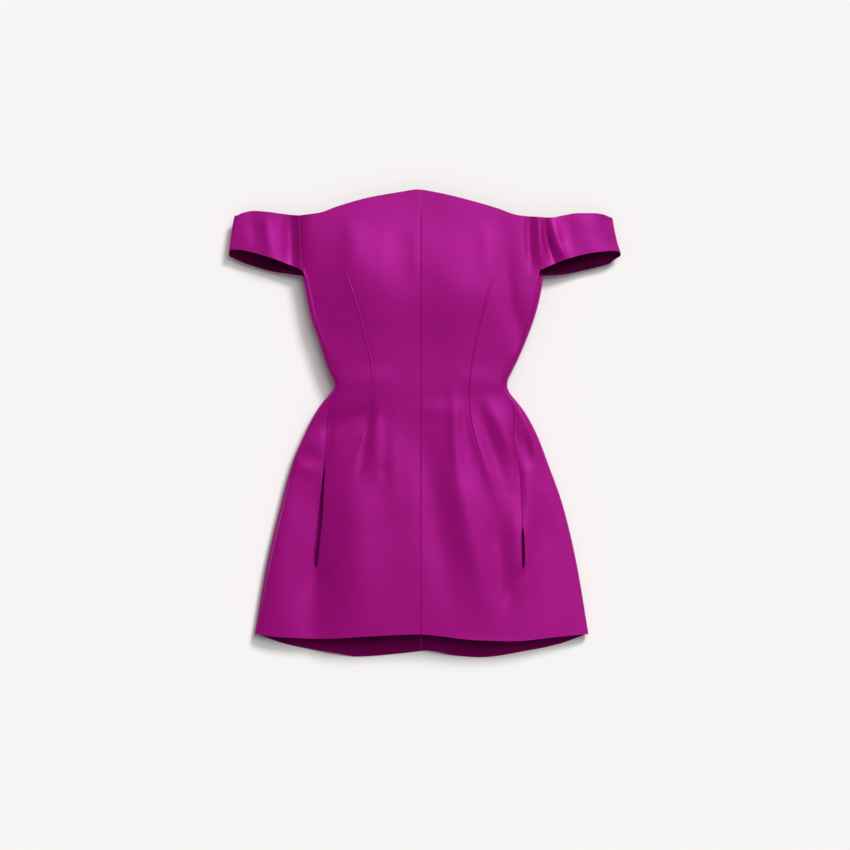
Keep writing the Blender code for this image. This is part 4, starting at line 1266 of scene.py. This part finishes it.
def make_tack(side, end, level):
    """One tack across the side seam, at the height of the cloth there."""
    out = SEAM[side](level)
    form = float(top_form(np.array(SIDES[side] * out), np.array(level)))
    height = float(front_height(side, level, HALF_WIDTH[side](level) - out)) + form + TACK_RISE
    deselect_all()
    place = (CENTRE_FRONT_X + SIDES[side] * float(out), WAIST_Y + level, height)
    bpy.ops.mesh.primitive_uv_sphere_add(segments=16, ring_count=8, radius=0.5, location=place)
    tack = bpy.context.object
    tack.name = f"bar_tack_{side}_{end}"
    tack.scale = TACK_SIZE
    bpy.ops.object.transform_apply(location=True, rotation=True, scale=True)
    bpy.ops.object.shade_smooth()
    tack.data.uv_layers[0].name = "cloth"
    tack.data.materials.append(SATIN_CLOTH)
    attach(tack, BODY)
    print(tack.name, "at", [round(v, 3) for v in place])


for side in SIDES:
    make_tack(side, "foot", MOUTH_FOOT_LEVEL)
    make_tack(side, "top", MOUTH_TOP_LEVEL[side])

# %% [markdown]
# ## Concealed zip
#
# A fitted dress in stiff cloth needs a closing. It is a concealed zip in the centre-back seam: a woven
# tape on the inside with a narrow coil down its middle, and a small slider at the top.

# %% Zip
ZIP_FOOT_LEVEL = -0.110
ZIP_TOP_LEVEL = 0.284
ZIP_TAPE_HALF_WIDTH = 0.012
ZIP_HEIGHT = 0.0016
TAPE_LIFT = 0.0004
TAPE_COLUMNS = (0, 0.06, 0.14, 0.2, 0.25, 0.4, 0.7, 1)
COIL_HALF_SHARE = 0.17
COIL_PITCH = 0.002
COIL_ROWS = 4
COIL_RISE = 0.0010
COIL_WAVE = 0.0006


def make_zip():
    """The tape is a grid whose middle rises and falls with each turn of the coil."""
    zip_length = ZIP_TOP_LEVEL - ZIP_FOOT_LEVEL
    rows = round(zip_length / COIL_PITCH * COIL_ROWS)
    across = np.array([-place for place in TAPE_COLUMNS[:0:-1]] + list(TAPE_COLUMNS))
    level = np.linspace(ZIP_FOOT_LEVEL, ZIP_TOP_LEVEL, rows + 1)[:, None]
    coil = np.exp(-(across / COIL_HALF_SHARE) ** 4)[None, :]
    turn = 0.5 + 0.5 * np.cos(2 * np.pi * (level - ZIP_FOOT_LEVEL) / COIL_PITCH)
    height = ZIP_HEIGHT + TAPE_LIFT + coil * (COIL_RISE + COIL_WAVE * turn)
    out = across[None, :] * ZIP_TAPE_HALF_WIDTH + 0 * level
    points = np.stack([CENTRE_FRONT_X + out, WAIST_Y + level + 0 * out, height], axis=-1)
    uvs = np.stack([out + CLOTH_PLACE["zip"], level + 0 * out], axis=-1)
    tape = grid_piece("zip_tape_and_coil", points, uvs)
    face_outwards(tape, True)
    cut = (2 * ZIP_TAPE_HALF_WIDTH, zip_length)
    finish_cloth(tape, "back_zip", cut, TAPE_CLOTH, TAPE_CLOTH, THIN_CLOTH)


make_zip()

# %% Zip slider
SLIDER_SIZE = (0.0088, 0.0110, 0.0030)
SLIDER_BEVEL = 0.0008
SLIDER_RAISE = 0.0024
SLIDER_EDGE_ANGLE = math.radians(40)
ENAMEL_GRAIN = 900.0
ENAMEL_ROUGHNESS = {"To Min": 0.25, "To Max": 0.45}


def slider_material():
    """Metal under a coat of magenta enamel, a little uneven."""
    paint = bpy.data.materials.new("slider_enamel")
    paint.use_nodes = True
    tree = paint.node_tree
    shader = tree.nodes["Principled BSDF"]
    shader.inputs["Base Color"].default_value = ZIP_TAPE
    places = add_node(tree, "ShaderNodeTexCoord", (-800, 0))
    grain = add_node(tree, "ShaderNodeTexNoise", (-600, 0), {"Scale": ENAMEL_GRAIN})
    rough = add_node(tree, "ShaderNodeMapRange", (-300, 0), ENAMEL_ROUGHNESS)
    tree.links.new(places.outputs["Object"], grain.inputs["Vector"])
    tree.links.new(grain.outputs["Fac"], rough.inputs["Value"])
    tree.links.new(rough.outputs["Result"], shader.inputs["Roughness"])
    return paint


def make_slider():
    """The closed zip's slider, at the top of the coil on the inside. Its pull is hidden and isn't built."""
    deselect_all()
    place = (CENTRE_FRONT_X, WAIST_Y + ZIP_TOP_LEVEL - SLIDER_SIZE[1] / 2, ZIP_HEIGHT + SLIDER_RAISE)
    bpy.ops.mesh.primitive_cube_add(size=1, location=place)
    slider = bpy.context.object
    slider.name = "zip_slider"
    slider.scale = SLIDER_SIZE
    bpy.ops.object.transform_apply(location=True, rotation=True, scale=True)
    bpy.ops.object.mode_set(mode="EDIT")
    bpy.ops.mesh.select_all(action="SELECT")
    bpy.ops.mesh.bevel(offset=SLIDER_BEVEL, segments=3)
    bpy.ops.object.mode_set(mode="OBJECT")
    bpy.ops.object.shade_smooth_by_angle(angle=SLIDER_EDGE_ANGLE)
    slider.data.materials.append(slider_material())
    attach(slider, BODY)
    print("slider faces:", len(slider.data.polygons))


make_slider()
